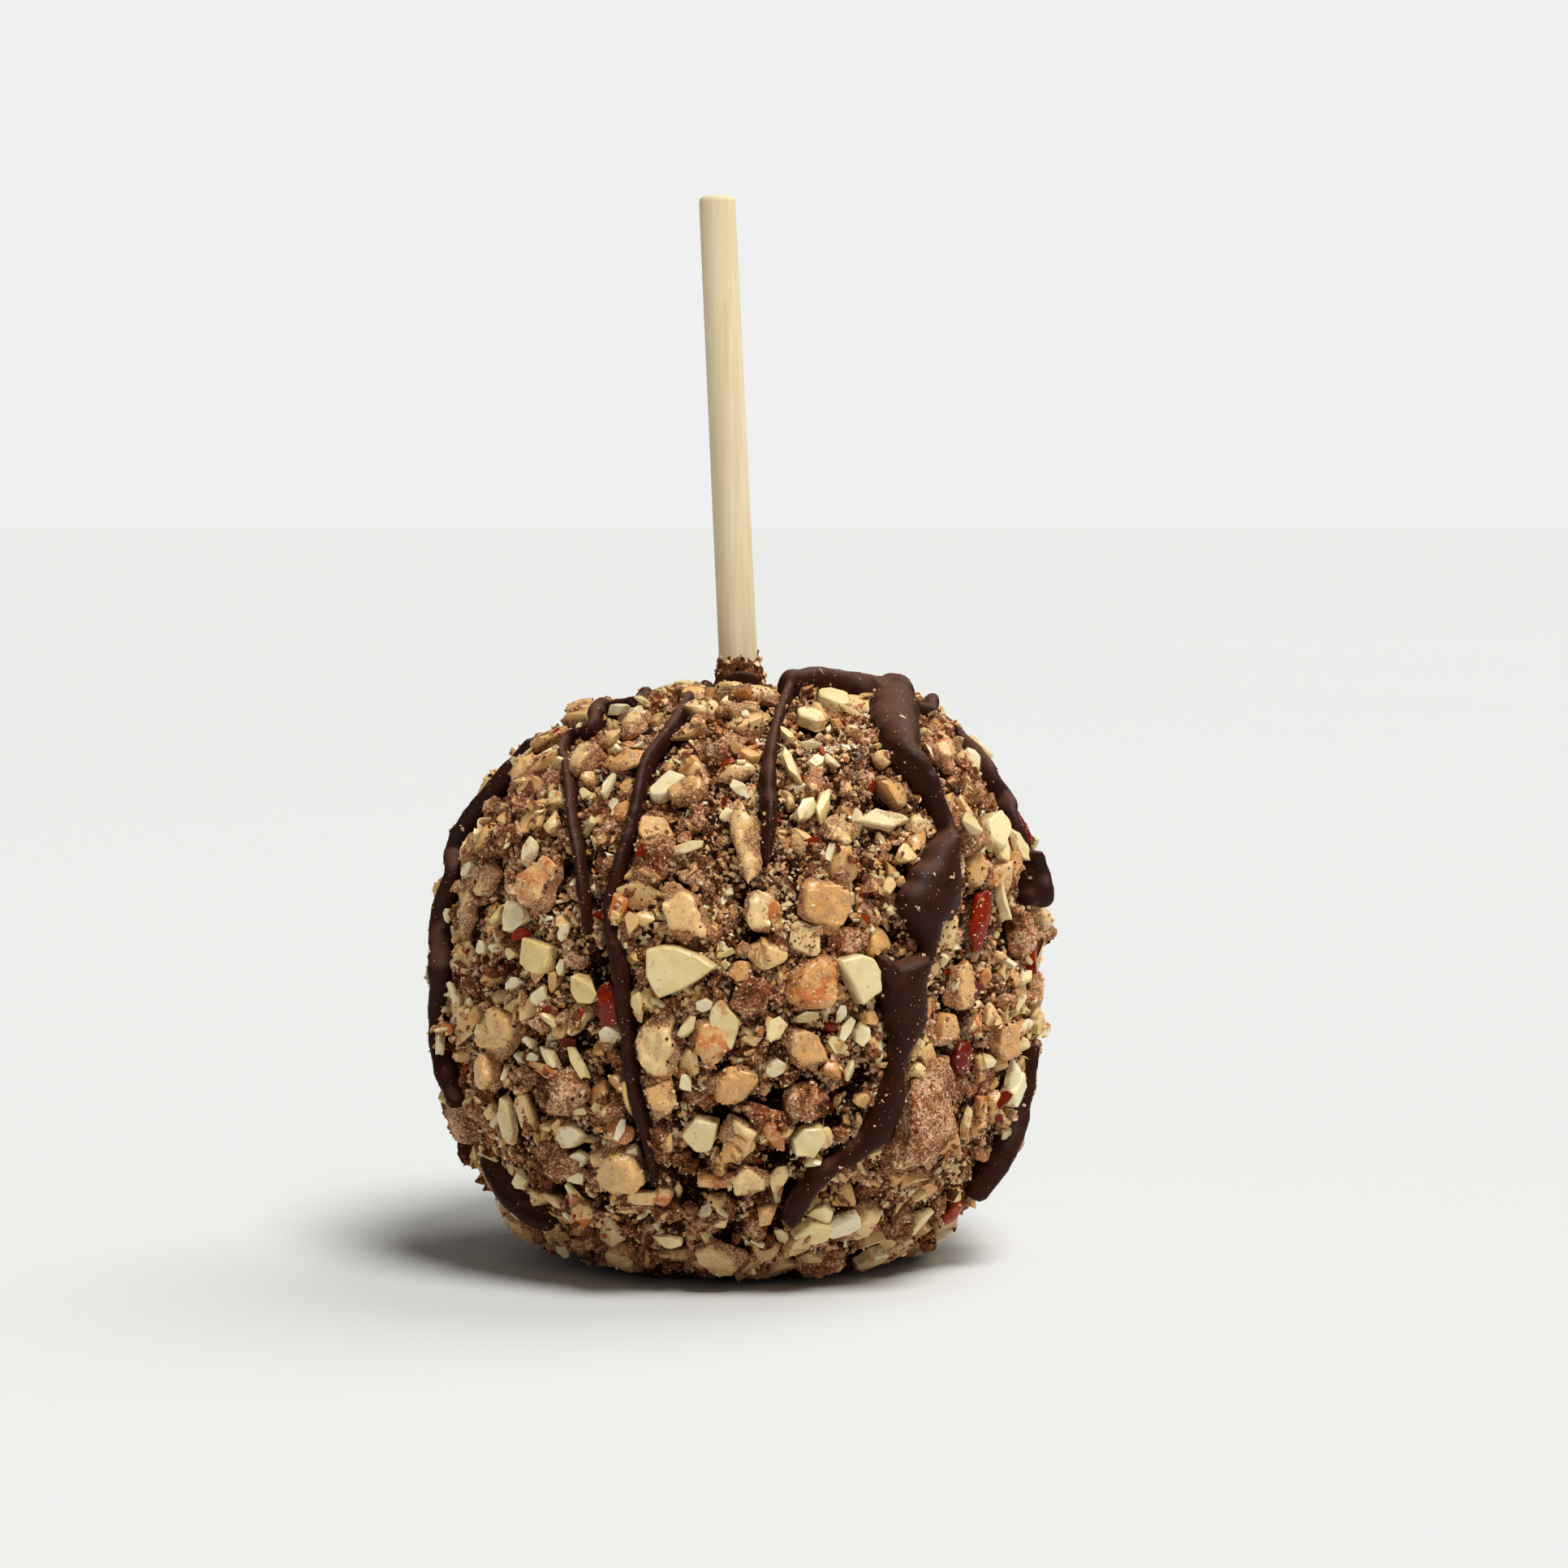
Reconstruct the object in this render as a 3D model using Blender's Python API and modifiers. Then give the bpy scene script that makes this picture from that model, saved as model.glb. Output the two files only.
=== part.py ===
"""Apple on a wooden stick, dipped in caramel, rolled in toffee and chopped almonds and
drizzled with dark chocolate.

Two solids. The coated apple is one lumpy round with its pieces of toffee, almond and
chocolate fused on, cut flat where it stands. The stick is a tapered dowel that leans a
little to the left and goes half way down into a socket in the apple.

The frame is metres, +Z up, -Y towards the front. The origin is the middle of the flat
foot. Sizes below are millimetres, turned to metres by MM.
"""

import math
import random

import bmesh
import bpy
from mathutils import Matrix, Vector, noise

MM = 0.001

# The coated apple: a superellipse turned about +Z, cut off flat at its foot.
BODY_RADIUS = 43.3
BODY_MIDDLE = 42.0
CROWN_HEIGHT = 41.0
FOOT_DEPTH = 46.0
BODY_POWER = 2.6
CROWN_DIP = 1.8
CROWN_DIP_RADIUS = 9.0
SHOULDER_SKEW = 3.6
LUMP_HEIGHT, LUMP_COUNT = 1.7, 2.6
KNOB_HEIGHT, KNOB_COUNT = 0.9, 5.2
BODY_SIDES, BODY_RINGS = 40, 26

# The stick, and the cuff of coating that climbs it.
STICK_LENGTH = 114.3
STICK_TOP_HEIGHT = 154.2
STICK_TOP_RADIUS = 2.62
STICK_FOOT_RADIUS = 2.94
STICK_TOP_SHIFT = -2.7
STICK_LEAN = math.radians(-2.6)
STICK_SIDES = 32
STICK_ROUNDING = 0.9
SOCKET_GAP = 0.3
CUFF_FOOT_HEIGHT, CUFF_HEIGHT = 79.0, 8.6
CUFF_FOOT_RADIUS, CUFF_TOP_RADIUS = 5.2, 3.4
CUFF_SIDES = 14

# Places on the front are given as seen from this point, where the line of sight meets
# the upright plane through the middle: millimetres to the right and above the foot.
EYE = Vector((7.0, -650.0, 115.0))
EDGE_DEPTH = 0.8

# How each kind of piece is shaped: share of its thickness that stands proud, thickness
# over width, and how far its corners are pushed about.
TOFFEE, ALMOND, COCOA, SKIN = "toffee", "almond", "cocoa", "skin"
PROUD = {TOFFEE: 0.56, ALMOND: 0.62, COCOA: 0.50, SKIN: 0.60}
THICKNESS = {TOFFEE: 0.75, ALMOND: 0.50, COCOA: 0.80, SKIN: 0.55}
ROUGHNESS = {TOFFEE: 0.14, ALMOND: 0.24, COCOA: 0.24, SKIN: 0.12}
FIRM_EDGED = (ALMOND,)

# The pieces that stand out on the front: kind, right, up, length, width, turn in degrees.
FRONT_PIECES = (
    (COCOA, 26.9, 18.7, 18.0, 12.0, 80),
    (ALMOND, -7.9, 41.4, 10.0, 6.6, 15),
    (ALMOND, 17.2, 40.2, 8.6, 6.8, 100),
    (TOFFEE, -34.3, 32.1, 8.2, 7.4, 20),
    (TOFFEE, -36.2, 26.6, 6.4, 5.0, 60),
    (TOFFEE, -11.8, 30.6, 9.6, 6.0, 80),
    (TOFFEE, -16.6, 12.5, 8.6, 7.8, 10),
    (TOFFEE, 13.1, 51.5, 8.2, 7.0, 160),
    (TOFFEE, -7.6, 50.0, 10.6, 5.6, 135),
    (TOFFEE, 11.0, 39.2, 8.6, 7.4, 60),
    (TOFFEE, 9.9, 30.3, 8.0, 5.2, 140),
    (TOFFEE, -0.4, 24.8, 7.2, 5.6, 20),
    (TOFFEE, 1.5, 60.2, 14.0, 3.8, 100),
    (TOFFEE, -22.0, 72.2, 5.8, 5.2, 80),
    (TOFFEE, 29.8, 73.2, 5.6, 5.2, 20),
    (TOFFEE, -6.9, 67.8, 6.0, 5.0, 30),
    (TOFFEE, -38.7, 59.1, 6.6, 4.0, 95),
    (TOFFEE, -39.0, 50.0, 6.6, 3.8, 80),
    (TOFFEE, -11.1, 23.1, 6.8, 5.0, 75),
    (TOFFEE, -3.9, 31.7, 6.8, 5.2, 100),
    (TOFFEE, 14.6, 62.0, 5.2, 4.6, 0),
    (TOFFEE, 3.4, 50.0, 6.6, 5.2, 95),
    (TOFFEE, 0.1, 17.3, 6.4, 5.2, 80),
    (TOFFEE, 1.9, 11.1, 6.2, 4.6, 15),
    (ALMOND, -1.4, 34.0, 6.6, 4.6, 100),
    (ALMOND, -33.1, 19.4, 7.8, 3.0, 85),
    (ALMOND, 21.2, 63.3, 8.4, 2.8, 172),
    (ALMOND, -9.7, 68.5, 6.0, 4.2, 45),
    (ALMOND, 10.3, 16.9, 5.0, 4.2, 30),
    (ALMOND, -5.0, 18.0, 5.2, 4.6, 60),
    (ALMOND, 11.4, 3.4, 6.2, 4.0, 20),
    (COCOA, -41.0, 19.4, 7.6, 6.6, 60),
    (COCOA, 31.2, 79.0, 5.6, 4.6, 10),
    (COCOA, 9.9, 22.4, 7.0, 6.0, 40),
    (COCOA, 2.2, 38.1, 6.8, 5.6, 0),
    (COCOA, 41.2, 47.6, 9.0, 6.4, 90),
    (SKIN, 35.3, 49.4, 8.4, 3.6, 65),
    (SKIN, -18.5, 36.7, 6.2, 3.4, 95),
    (SKIN, 32.9, 28.9, 5.0, 3.4, 80),
    (SKIN, 32.0, 5.4, 4.2, 3.2, 80),
)

# The rest are spread by chance: kind, how many, shortest and longest.
SCATTER = (
    (COCOA, 18, 6.4, 10.5),
    (TOFFEE, 42, 5.8, 8.8),
    (ALMOND, 30, 5.2, 7.6),
    (SKIN, 5, 4.8, 6.4),
)
SCATTER_SEED = 11
SCATTER_SPACING = 0.56
SCATTER_TRIES = 500
SCATTER_LOWEST, SCATTER_CUFF_CLEARANCE = 3.0, 9.0

# The drizzle on the front: right, up and width at each turn of a strand.
FRONT_STRANDS = (
    ((-30.4, 75.3, 1.6), (-36.5, 68.1, 2.0), (-41.0, 60.2, 1.8), (-40.7, 55.8, 1.8),
     (-42.8, 48.6, 2.6), (-43.6, 41.5, 3.4), (-43.3, 35.5, 2.2), (-40.8, 27.8, 2.0),
     (-39.6, 23.0, 1.4)),
    ((-36.3, 13.9, 2.0), (-33.2, 9.3, 3.0), (-27.4, 4.9, 2.4)),
    ((-14.0, 83.0, 1.8), (-19.0, 80.6, 2.2), (-20.4, 77.2, 3.0), (-24.2, 75.3, 2.2),
     (-24.6, 70.6, 1.8), (-23.7, 64.4, 2.0), (-22.6, 58.4, 1.6), (-22.0, 52.2, 1.8),
     (-21.5, 47.4, 1.4)),
    ((-3.9, 81.9, 2.0), (-8.6, 77.9, 2.0), (-12.8, 71.8, 2.0), (-14.6, 64.4, 2.0),
     (-17.0, 56.2, 2.2), (-18.4, 49.8, 2.0), (-17.0, 42.8, 2.4), (-15.8, 33.2, 2.0),
     (-15.0, 25.2, 2.0), (-13.0, 17.2, 1.8), (-11.9, 10.6, 1.2)),
    ((8.0, 83.6, 1.8), (5.8, 77.2, 1.6), (4.6, 70.0, 2.4), (4.8, 62.7, 2.2),
     (4.2, 57.6, 1.6)),
    ((8.0, 83.8, 2.4), (14.9, 84.6, 2.8), (19.6, 83.0, 3.2), (23.4, 83.4, 4.4)),
    ((23.4, 83.4, 4.4), (24.2, 79.0, 6.8), (24.0, 74.2, 5.8), (27.0, 68.8, 4.6),
     (30.0, 62.0, 3.4), (30.6, 57.6, 4.4), (28.6, 51.8, 9.6), (27.0, 46.6, 5.4),
     (26.4, 42.4, 3.4), (24.2, 37.4, 7.0), (23.6, 31.6, 6.0), (21.8, 25.4, 4.2),
     (20.2, 19.2, 5.4), (15.0, 13.4, 4.4), (9.4, 9.8, 4.0), (7.4, 4.8, 3.4)),
    ((28.6, 80.0, 2.0), (34.2, 73.0, 2.2), (40.4, 67.2, 2.4), (42.0, 62.0, 2.0),
     (44.4, 57.0, 2.8), (46.9, 52.9, 2.2)),
    ((43.8, 29.4, 1.8), (42.4, 21.0, 2.8), (39.4, 14.4, 3.2), (36.4, 7.6, 2.4)),
)

# The drizzle over the crown and down the back carries on from the front strands, in
# slices across the apple: which front strand, right at the end, first and last angle
# from straight up towards the back in degrees, and width.
BACK_STRANDS = (
    (2, -22.0, 2.0, 112.0, 2.0),
    (3, -7.0, 4.0, 66.0, 2.0),
    (4, 3.0, 4.0, 128.0, 2.2),
    (6, 15.0, 4.0, 96.0, 4.2),
    (7, 30.0, 8.0, 118.0, 2.4),
    (0, -34.0, 12.0, 74.0, 1.8),
)
BACK_STRAND_STEP = 10.0
BACK_STRAND_SWING = 1.6
STRAND_RISE_SHARE, STRAND_LOWEST_RISE, STRAND_HIGHEST_RISE = 0.62, 1.1, 2.4
STRAND_PIECE_GAP = 0.5
STRAND_STEP = 9.0

COLOURS = {
    "coated_apple": ((0.33, 0.17, 0.08), 0.75),
    "stick": ((0.78, 0.60, 0.36), 0.55),
}


def body_share(place):
    """1 on the smooth turned shape, less inside it and more outside."""
    across = math.hypot(place.x, place.y) / BODY_RADIUS
    up = place.z - BODY_MIDDLE
    height = CROWN_HEIGHT if up > 0 else FOOT_DEPTH
    return across**BODY_POWER + abs(up / height) ** BODY_POWER


def relief(outward, place):
    """How far the coating stands above the smooth shape, its lumps and dip together."""
    lumps = LUMP_HEIGHT * noise.noise(outward * LUMP_COUNT)
    knobs = KNOB_HEIGHT * noise.noise(outward * KNOB_COUNT)
    from_axis = math.hypot(place.x, place.y) / CROWN_DIP_RADIUS
    dip = CROWN_DIP * math.exp(-from_axis * from_axis) if outward.z > 0 else 0.0
    skew = SHOULDER_SKEW * outward.x * max(outward.z, 0.0)
    return lumps + knobs + skew - dip


def coating_point(outward):
    """The place on the coating in this direction from the middle of the apple."""
    middle = Vector((0, 0, BODY_MIDDLE))
    reach = body_share(middle + outward) ** (-1 / BODY_POWER)
    place = middle + outward * reach
    return place + outward * relief(outward, place)


def coating_normal(place):
    """Which way the smooth shape faces at this place."""
    slopes = []
    for axis in (Vector((1, 0, 0)), Vector((0, 1, 0)), Vector((0, 0, 1))):
        slopes.append(body_share(place + axis * 0.05) - body_share(place - axis * 0.05))
    return Vector(slopes).normalized()


def depth_under_coating(place):
    """How far a place lies inside the coating, below zero outside it."""
    offset = place - Vector((0, 0, BODY_MIDDLE))
    if offset.length < 1.0:
        return BODY_RADIUS
    outward = offset.normalized()
    surface = coating_point(outward) - Vector((0, 0, BODY_MIDDLE))
    return surface.length - offset.length


def first_hit(start, direction, reach):
    """Where a line first meets the coating, or its nearest place to the coating."""
    steps = 160
    nearest, least = start, math.inf
    for step in range(steps + 1):
        place = start + direction * (reach * step / steps)
        depth = depth_under_coating(place)
        if depth > 0:
            return coating_point((place - Vector((0, 0, BODY_MIDDLE))).normalized())
        if -depth < least:
            nearest, least = place, -depth
    return coating_point((nearest - Vector((0, 0, BODY_MIDDLE))).normalized())


def seen_from_front(right, up):
    """The place on the coating that the eye sees at this spot of the upright plane.

    A spot on the very edge is drawn in until the line of sight passes under the coating.
    """
    middle = Vector((0, 0, BODY_MIDDLE))
    spot = Vector((right, 0, up))
    for share in range(100, 80, -1):
        target = middle + (spot - middle) * (share / 100)
        direction = (target - EYE).normalized()
        depths = [depth_under_coating(target + direction * step) for step in range(-20, 21, 4)]
        if max(depths) > EDGE_DEPTH:
            return first_hit(target - direction * 60, direction, 75)
    raise ValueError(f"no coating at {right}, {up}")


def in_slice(right, angle):
    """The place on the coating at this distance right, angle degrees back from the top."""
    turn = math.radians(angle)
    outward = Vector((0, math.sin(turn), math.cos(turn)))
    start = Vector((right, 0, BODY_MIDDLE)) + outward * 70
    return first_hit(start, -outward, 70)


def smooth_route(points, step):
    """(place, width) along a soft curve through the points, about one step apart."""
    route = []
    last = len(points) - 1
    for index in range(last):
        before = points[max(index - 1, 0)]
        start, end = points[index], points[index + 1]
        after = points[min(index + 2, last)]
        count = max(1, round((end[0] - start[0]).length / step))
        for part in range(count):
            share = part / count
            place = catmull_rom(before[0], start[0], end[0], after[0], share)
            route.append((place, start[1] + (end[1] - start[1]) * share))
    route.append(points[last])
    return route


def catmull_rom(before, start, end, after, share):
    """A place between start and end on the curve that also bends by its neighbours."""
    bend = 2 * start + (end - before) * share
    bend += (2 * before - 5 * start + 4 * end - after) * share**2
    bend += (3 * start - before - 3 * end + after) * share**3
    return bend / 2


def on_coating(place):
    return coating_point((place - Vector((0, 0, BODY_MIDDLE))).normalized())


def strand_routes():
    """Every strand of drizzle as (place on the coating, width) pairs."""
    routes = []
    for strand in FRONT_STRANDS:
        turns = [(seen_from_front(right, up), width) for right, up, width in strand]
        routes.append(turns)
    for number, (front, end_right, first, last, width) in enumerate(BACK_STRANDS):
        turns = [routes[front][0]]
        start_right = turns[0][0].x
        count = round((last - first) / BACK_STRAND_STEP)
        for index in range(count + 1):
            share = index / count
            right = start_right + (end_right - start_right) * share
            right += BACK_STRAND_SWING * share * math.sin(2.3 * index + number)
            thin = 1 - 0.35 * share + 0.18 * math.sin(1.7 * index + 2 * number)
            angle = first + (last - first) * share
            turns.append((in_slice(right, angle), width * thin))
        routes.append(turns)
    smooth = []
    for turns in routes:
        route = smooth_route(turns, STRAND_STEP)
        smooth.append([(on_coating(place), width) for place, width in route])
    return smooth


def new_object(name, mesh, collection):
    made = bpy.data.objects.new(name, mesh)
    collection.objects.link(made)
    return made


def mesh_from(shape, name):
    """Turns a finished bmesh, in millimetres, into a mesh in metres."""
    bmesh.ops.scale(shape, vec=(MM, MM, MM), verts=shape.verts)
    mesh = bpy.data.meshes.new(name)
    shape.to_mesh(mesh)
    shape.free()
    return mesh


def make_body(collection):
    """The lumpy round of apple and coating, before its pieces are fused on."""
    shape = bmesh.new()
    bmesh.ops.create_uvsphere(
        shape, u_segments=BODY_SIDES, v_segments=BODY_RINGS, radius=1.0
    )
    for vertex in shape.verts:
        vertex.co = coating_point(vertex.co.normalized())
    return new_object("coated_apple", mesh_from(shape, "coated_apple"), collection)


def piece_mesh(kind, length, width, draw):
    """A small closed lump: a firm-edged shard for almond, a rounded knob for the rest."""
    shape = bmesh.new()
    if kind in FIRM_EDGED:
        bmesh.ops.create_cube(shape, size=1.7)
    else:
        bmesh.ops.create_icosphere(shape, subdivisions=1, radius=1.0)
    push = ROUGHNESS[kind]
    for vertex in shape.verts:
        shift = Vector([draw.uniform(-push, push) for _ in range(3)])
        vertex.co += shift
        vertex.co.x *= length / 2
        vertex.co.y *= width / 2
        vertex.co.z *= width * THICKNESS[kind] / 2
    bmesh.ops.delete(shape, geom=list(shape.edges), context="EDGES_FACES")
    bmesh.ops.convex_hull(shape, input=shape.verts)
    inside = [vertex for vertex in shape.verts if not vertex.link_faces]
    bmesh.ops.delete(shape, geom=inside, context="VERTS")
    bmesh.ops.recalc_face_normals(shape, faces=shape.faces)
    return shape


def add_piece(kind, place, length, width, turn, draw, collection):
    """Sets one piece into the coating, its length turned this far from level."""
    normal = coating_normal(place)
    level = Vector((0, 0, 1)).cross(normal).normalized()
    rise = normal.cross(level)
    along = level * math.cos(math.radians(turn)) + rise * math.sin(math.radians(turn))
    across = normal.cross(along)
    thickness = width * THICKNESS[kind]
    seat = place + normal * thickness * (PROUD[kind] - 0.5)
    axes = Matrix((along, across, normal)).transposed().to_4x4()
    shape = piece_mesh(kind, length, width, draw)
    bmesh.ops.transform(shape, matrix=Matrix.Translation(seat) @ axes, verts=shape.verts)
    return new_object(kind, mesh_from(shape, kind), collection)


def is_clear(place, length, taken, strands):
    """Whether a new piece keeps off the pieces already set and off the drizzle."""
    for other, other_length in taken:
        if (place - other).length < SCATTER_SPACING * (length + other_length):
            return False
    for strand in strands:
        for spot, width in strand:
            if (place - spot).length < length / 2 + width / 2 + STRAND_PIECE_GAP:
                return False
    return True


def scattered_places(strands):
    """(kind, place, length) of the pieces that no one placed by hand, largest first."""
    draw = random.Random(SCATTER_SEED)
    taken = []
    for kind, right, up, length, width, turn in FRONT_PIECES:
        taken.append((seen_from_front(right, up), length))
    sizes = []
    for kind, count, shortest, longest in SCATTER:
        sizes += [(draw.uniform(shortest, longest), kind) for _ in range(count)]
    sizes.sort(reverse=True)
    found = []
    for length, kind in sizes:
        for _ in range(SCATTER_TRIES):
            outward = Vector([draw.gauss(0, 1) for _ in range(3)]).normalized()
            place = coating_point(outward)
            near_cuff = math.hypot(place.x, place.y) < SCATTER_CUFF_CLEARANCE
            if place.z < SCATTER_LOWEST or (near_cuff and outward.z > 0):
                continue
            if is_clear(place, length, taken, strands):
                taken.append((place, length))
                found.append((kind, place, length))
                break
    return found


def add_pieces(strands, collection):
    """All the toffee, almond, cocoa crumb and skin that stands out of the coating."""
    draw = random.Random(SCATTER_SEED + 1)
    for kind, right, up, length, width, turn in FRONT_PIECES:
        place = seen_from_front(right, up)
        add_piece(kind, place, length, width, turn, draw, collection)
    for kind, place, length in scattered_places(strands):
        width = length * draw.uniform(0.55, 0.85)
        turn = draw.uniform(0, 180)
        add_piece(kind, place, length, width, turn, draw, collection)


def add_strand(route, collection):
    """A strand of chocolate: a tube sunk so far that its top rises by half its width."""
    curve = bpy.data.curves.new("strand", "CURVE")
    curve.dimensions = "3D"
    curve.bevel_depth = MM
    curve.bevel_resolution = 1
    curve.use_fill_caps = True
    spline = curve.splines.new("POLY")
    spline.points.add(len(route) - 1)
    for point, (place, width) in zip(spline.points, route):
        rise = min(
            max(width * STRAND_RISE_SHARE, STRAND_LOWEST_RISE), STRAND_HIGHEST_RISE
        )
        radius = (width * width / 4 + rise * rise) / (2 * rise)
        centre = place + coating_normal(place) * (rise - radius)
        point.co = (*(centre * MM), 1)
        point.radius = radius
    tube = new_object("strand", curve, collection)
    return curve_to_mesh(tube, collection)


def curve_to_mesh(tube, collection):
    """Replaces a curve by its mesh, with the caps welded on."""
    graph = bpy.context.evaluated_depsgraph_get()
    mesh = bpy.data.meshes.new_from_object(tube.evaluated_get(graph))
    shape = bmesh.new()
    shape.from_mesh(mesh)
    bmesh.ops.remove_doubles(shape, verts=shape.verts, dist=0.001 * MM)
    bmesh.ops.triangulate(shape, faces=shape.faces)
    shape.to_mesh(mesh)
    shape.free()
    solid = new_object(tube.name, mesh, collection)
    solid.matrix_world = tube.matrix_world
    bpy.data.objects.remove(tube)
    return solid


def stick_frame():
    """The stick's own frame: its middle, leaning with the stick."""
    half = STICK_LENGTH / 2
    lean = Matrix.Rotation(STICK_LEAN, 4, "Y")
    top = Vector((STICK_TOP_SHIFT, 0, STICK_TOP_HEIGHT))
    middle = top - lean @ Vector((0, 0, half))
    return Matrix.Translation(middle * MM) @ lean


def add_cuff(collection):
    """The ragged collar of coating round the foot of the stick."""
    draw = random.Random(SCATTER_SEED + 2)
    shape = bmesh.new()
    bmesh.ops.create_cone(
        shape,
        cap_ends=True,
        segments=CUFF_SIDES,
        radius1=CUFF_FOOT_RADIUS,
        radius2=CUFF_TOP_RADIUS,
        depth=CUFF_HEIGHT,
    )
    for vertex in shape.verts:
        vertex.co.x *= draw.uniform(0.92, 1.12)
        vertex.co.y *= draw.uniform(0.92, 1.12)
        vertex.co.z += draw.uniform(-0.5, 0.5)
    bmesh.ops.triangulate(shape, faces=shape.faces)
    cuff = new_object("cuff", mesh_from(shape, "cuff"), collection)
    along = CUFF_FOOT_HEIGHT + CUFF_HEIGHT / 2 - stick_frame().translation.z / MM
    cuff.matrix_world = stick_frame() @ Matrix.Translation((0, 0, along * MM))
    return cuff


def tapered_rod(name, length, foot_radius, top_radius, collection):
    """A tapered round rod along the stick's frame, its top end level with the stick's."""
    bpy.ops.mesh.primitive_cone_add(
        vertices=STICK_SIDES,
        radius1=foot_radius * MM,
        radius2=top_radius * MM,
        depth=length * MM,
    )
    rod = bpy.context.object
    rod.name = name
    for owner in rod.users_collection:
        owner.objects.unlink(rod)
    collection.objects.link(rod)
    slide = (STICK_LENGTH - length) / 2 * MM
    rod.matrix_world = stick_frame() @ Matrix.Translation((0, 0, slide))
    return rod


def make_stick(collection):
    """The dowel, with its two ends rounded over."""
    stick = tapered_rod(
        "stick", STICK_LENGTH, STICK_FOOT_RADIUS, STICK_TOP_RADIUS, collection
    )
    rounding = stick.modifiers.new("rounded ends", "BEVEL")
    rounding.width = STICK_ROUNDING * MM
    rounding.segments = 3
    rounding.limit_method = "ANGLE"
    rounding.angle_limit = math.radians(60)
    stick.data.shade_smooth()
    return stick


def apply_boolean(target, operation, cutter=None, collection=None):
    """Joins or cuts the target for good, by one object or by a whole collection."""
    boolean = target.modifiers.new(operation.lower(), "BOOLEAN")
    boolean.operation = operation
    boolean.solver = "MANIFOLD"
    if collection:
        boolean.operand_type = "COLLECTION"
        boolean.collection = collection
        used = list(collection.objects)
    else:
        boolean.object = cutter
        used = [cutter]
    graph = bpy.context.evaluated_depsgraph_get()
    mesh = bpy.data.meshes.new_from_object(target.evaluated_get(graph))
    target.modifiers.clear()
    target.data = mesh
    for spare in used:
        bpy.data.objects.remove(spare)


def keep_outer_skin(target):
    """Drops the loose scraps and sealed hollows that fusing leaves inside."""
    shape = bmesh.new()
    shape.from_mesh(target.data)
    bmesh.ops.triangulate(shape, faces=shape.faces)
    unseen = set(shape.faces)
    shells = []
    while unseen:
        shell, edge = set(), [unseen.pop()]
        while edge:
            face = edge.pop()
            shell.add(face)
            for side in face.edges:
                for neighbour in side.link_faces:
                    if neighbour in unseen:
                        unseen.remove(neighbour)
                        edge.append(neighbour)
        shells.append(shell)
    shells.sort(key=len)
    for shell in shells[:-1]:
        bmesh.ops.delete(shape, geom=list(shell), context="FACES")
    shape.to_mesh(target.data)
    shape.free()


def cut_foot(body, cutters):
    """Cuts the coated apple off flat at the height it stands on."""
    side, deep = 4 * BODY_RADIUS, BODY_RADIUS
    bpy.ops.mesh.primitive_cube_add(size=1)
    slab = bpy.context.object
    slab.scale = (side * MM, side * MM, deep * MM)
    slab.location = (0, 0, -deep / 2 * MM)
    for owner in slab.users_collection:
        owner.objects.unlink(slab)
    cutters.objects.link(slab)
    apply_boolean(body, "DIFFERENCE", cutter=slab)


def cut_socket(body, cutters):
    """Cuts the hole that the stick goes into, a little wider than the stick."""
    slope = (STICK_FOOT_RADIUS - STICK_TOP_RADIUS) / STICK_LENGTH
    drill = tapered_rod(
        "drill",
        STICK_LENGTH + SOCKET_GAP,
        STICK_FOOT_RADIUS + slope * SOCKET_GAP + SOCKET_GAP,
        STICK_TOP_RADIUS + SOCKET_GAP,
        cutters,
    )
    apply_boolean(body, "DIFFERENCE", cutter=drill)


def give_material(target):
    colour, roughness = COLOURS[target.name]
    material = bpy.data.materials.new(target.name)
    material.use_nodes = True
    surface = material.node_tree.nodes["Principled BSDF"]
    surface.inputs["Base Color"].default_value = (*colour, 1)
    surface.inputs["Roughness"].default_value = roughness
    surface.inputs["Metallic"].default_value = 0.0
    target.data.materials.clear()
    target.data.materials.append(material)


def clear_scene():
    for item in list(bpy.data.objects):
        bpy.data.objects.remove(item)


def new_collection(name):
    made = bpy.data.collections.new(name)
    bpy.context.scene.collection.children.link(made)
    return made


def main():
    clear_scene()
    whole = new_collection("caramel apple")
    toppings = new_collection("toppings")
    cutters = new_collection("cutters")
    body = make_body(whole)
    strands = strand_routes()
    add_pieces(strands, toppings)
    for route in strands:
        add_strand(route, toppings)
    add_cuff(toppings)
    bpy.context.view_layer.update()
    apply_boolean(body, "UNION", collection=toppings)
    cut_foot(body, cutters)
    cut_socket(body, cutters)
    keep_outer_skin(body)
    stick = make_stick(whole)
    for finished in (body, stick):
        give_material(finished)
    for helper in (toppings, cutters):
        bpy.data.collections.remove(helper)


main()
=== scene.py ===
"""A caramel apple in full dress: a rough coating of cocoa crumb, toffee and almond pieces,
dark chocolate drizzle and a wooden stick.

The shapes repeat the named sizes, rules and seeds of the solids, so every lump and
strand lies on its own solid. Places and sizes are millimetres, turned to metres by MM.
"""

import math
import random

import bpy
import numpy as np
from mathutils import Matrix, Vector, noise
from mathutils.bvhtree import BVHTree
from mathutils.kdtree import KDTree


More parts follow.
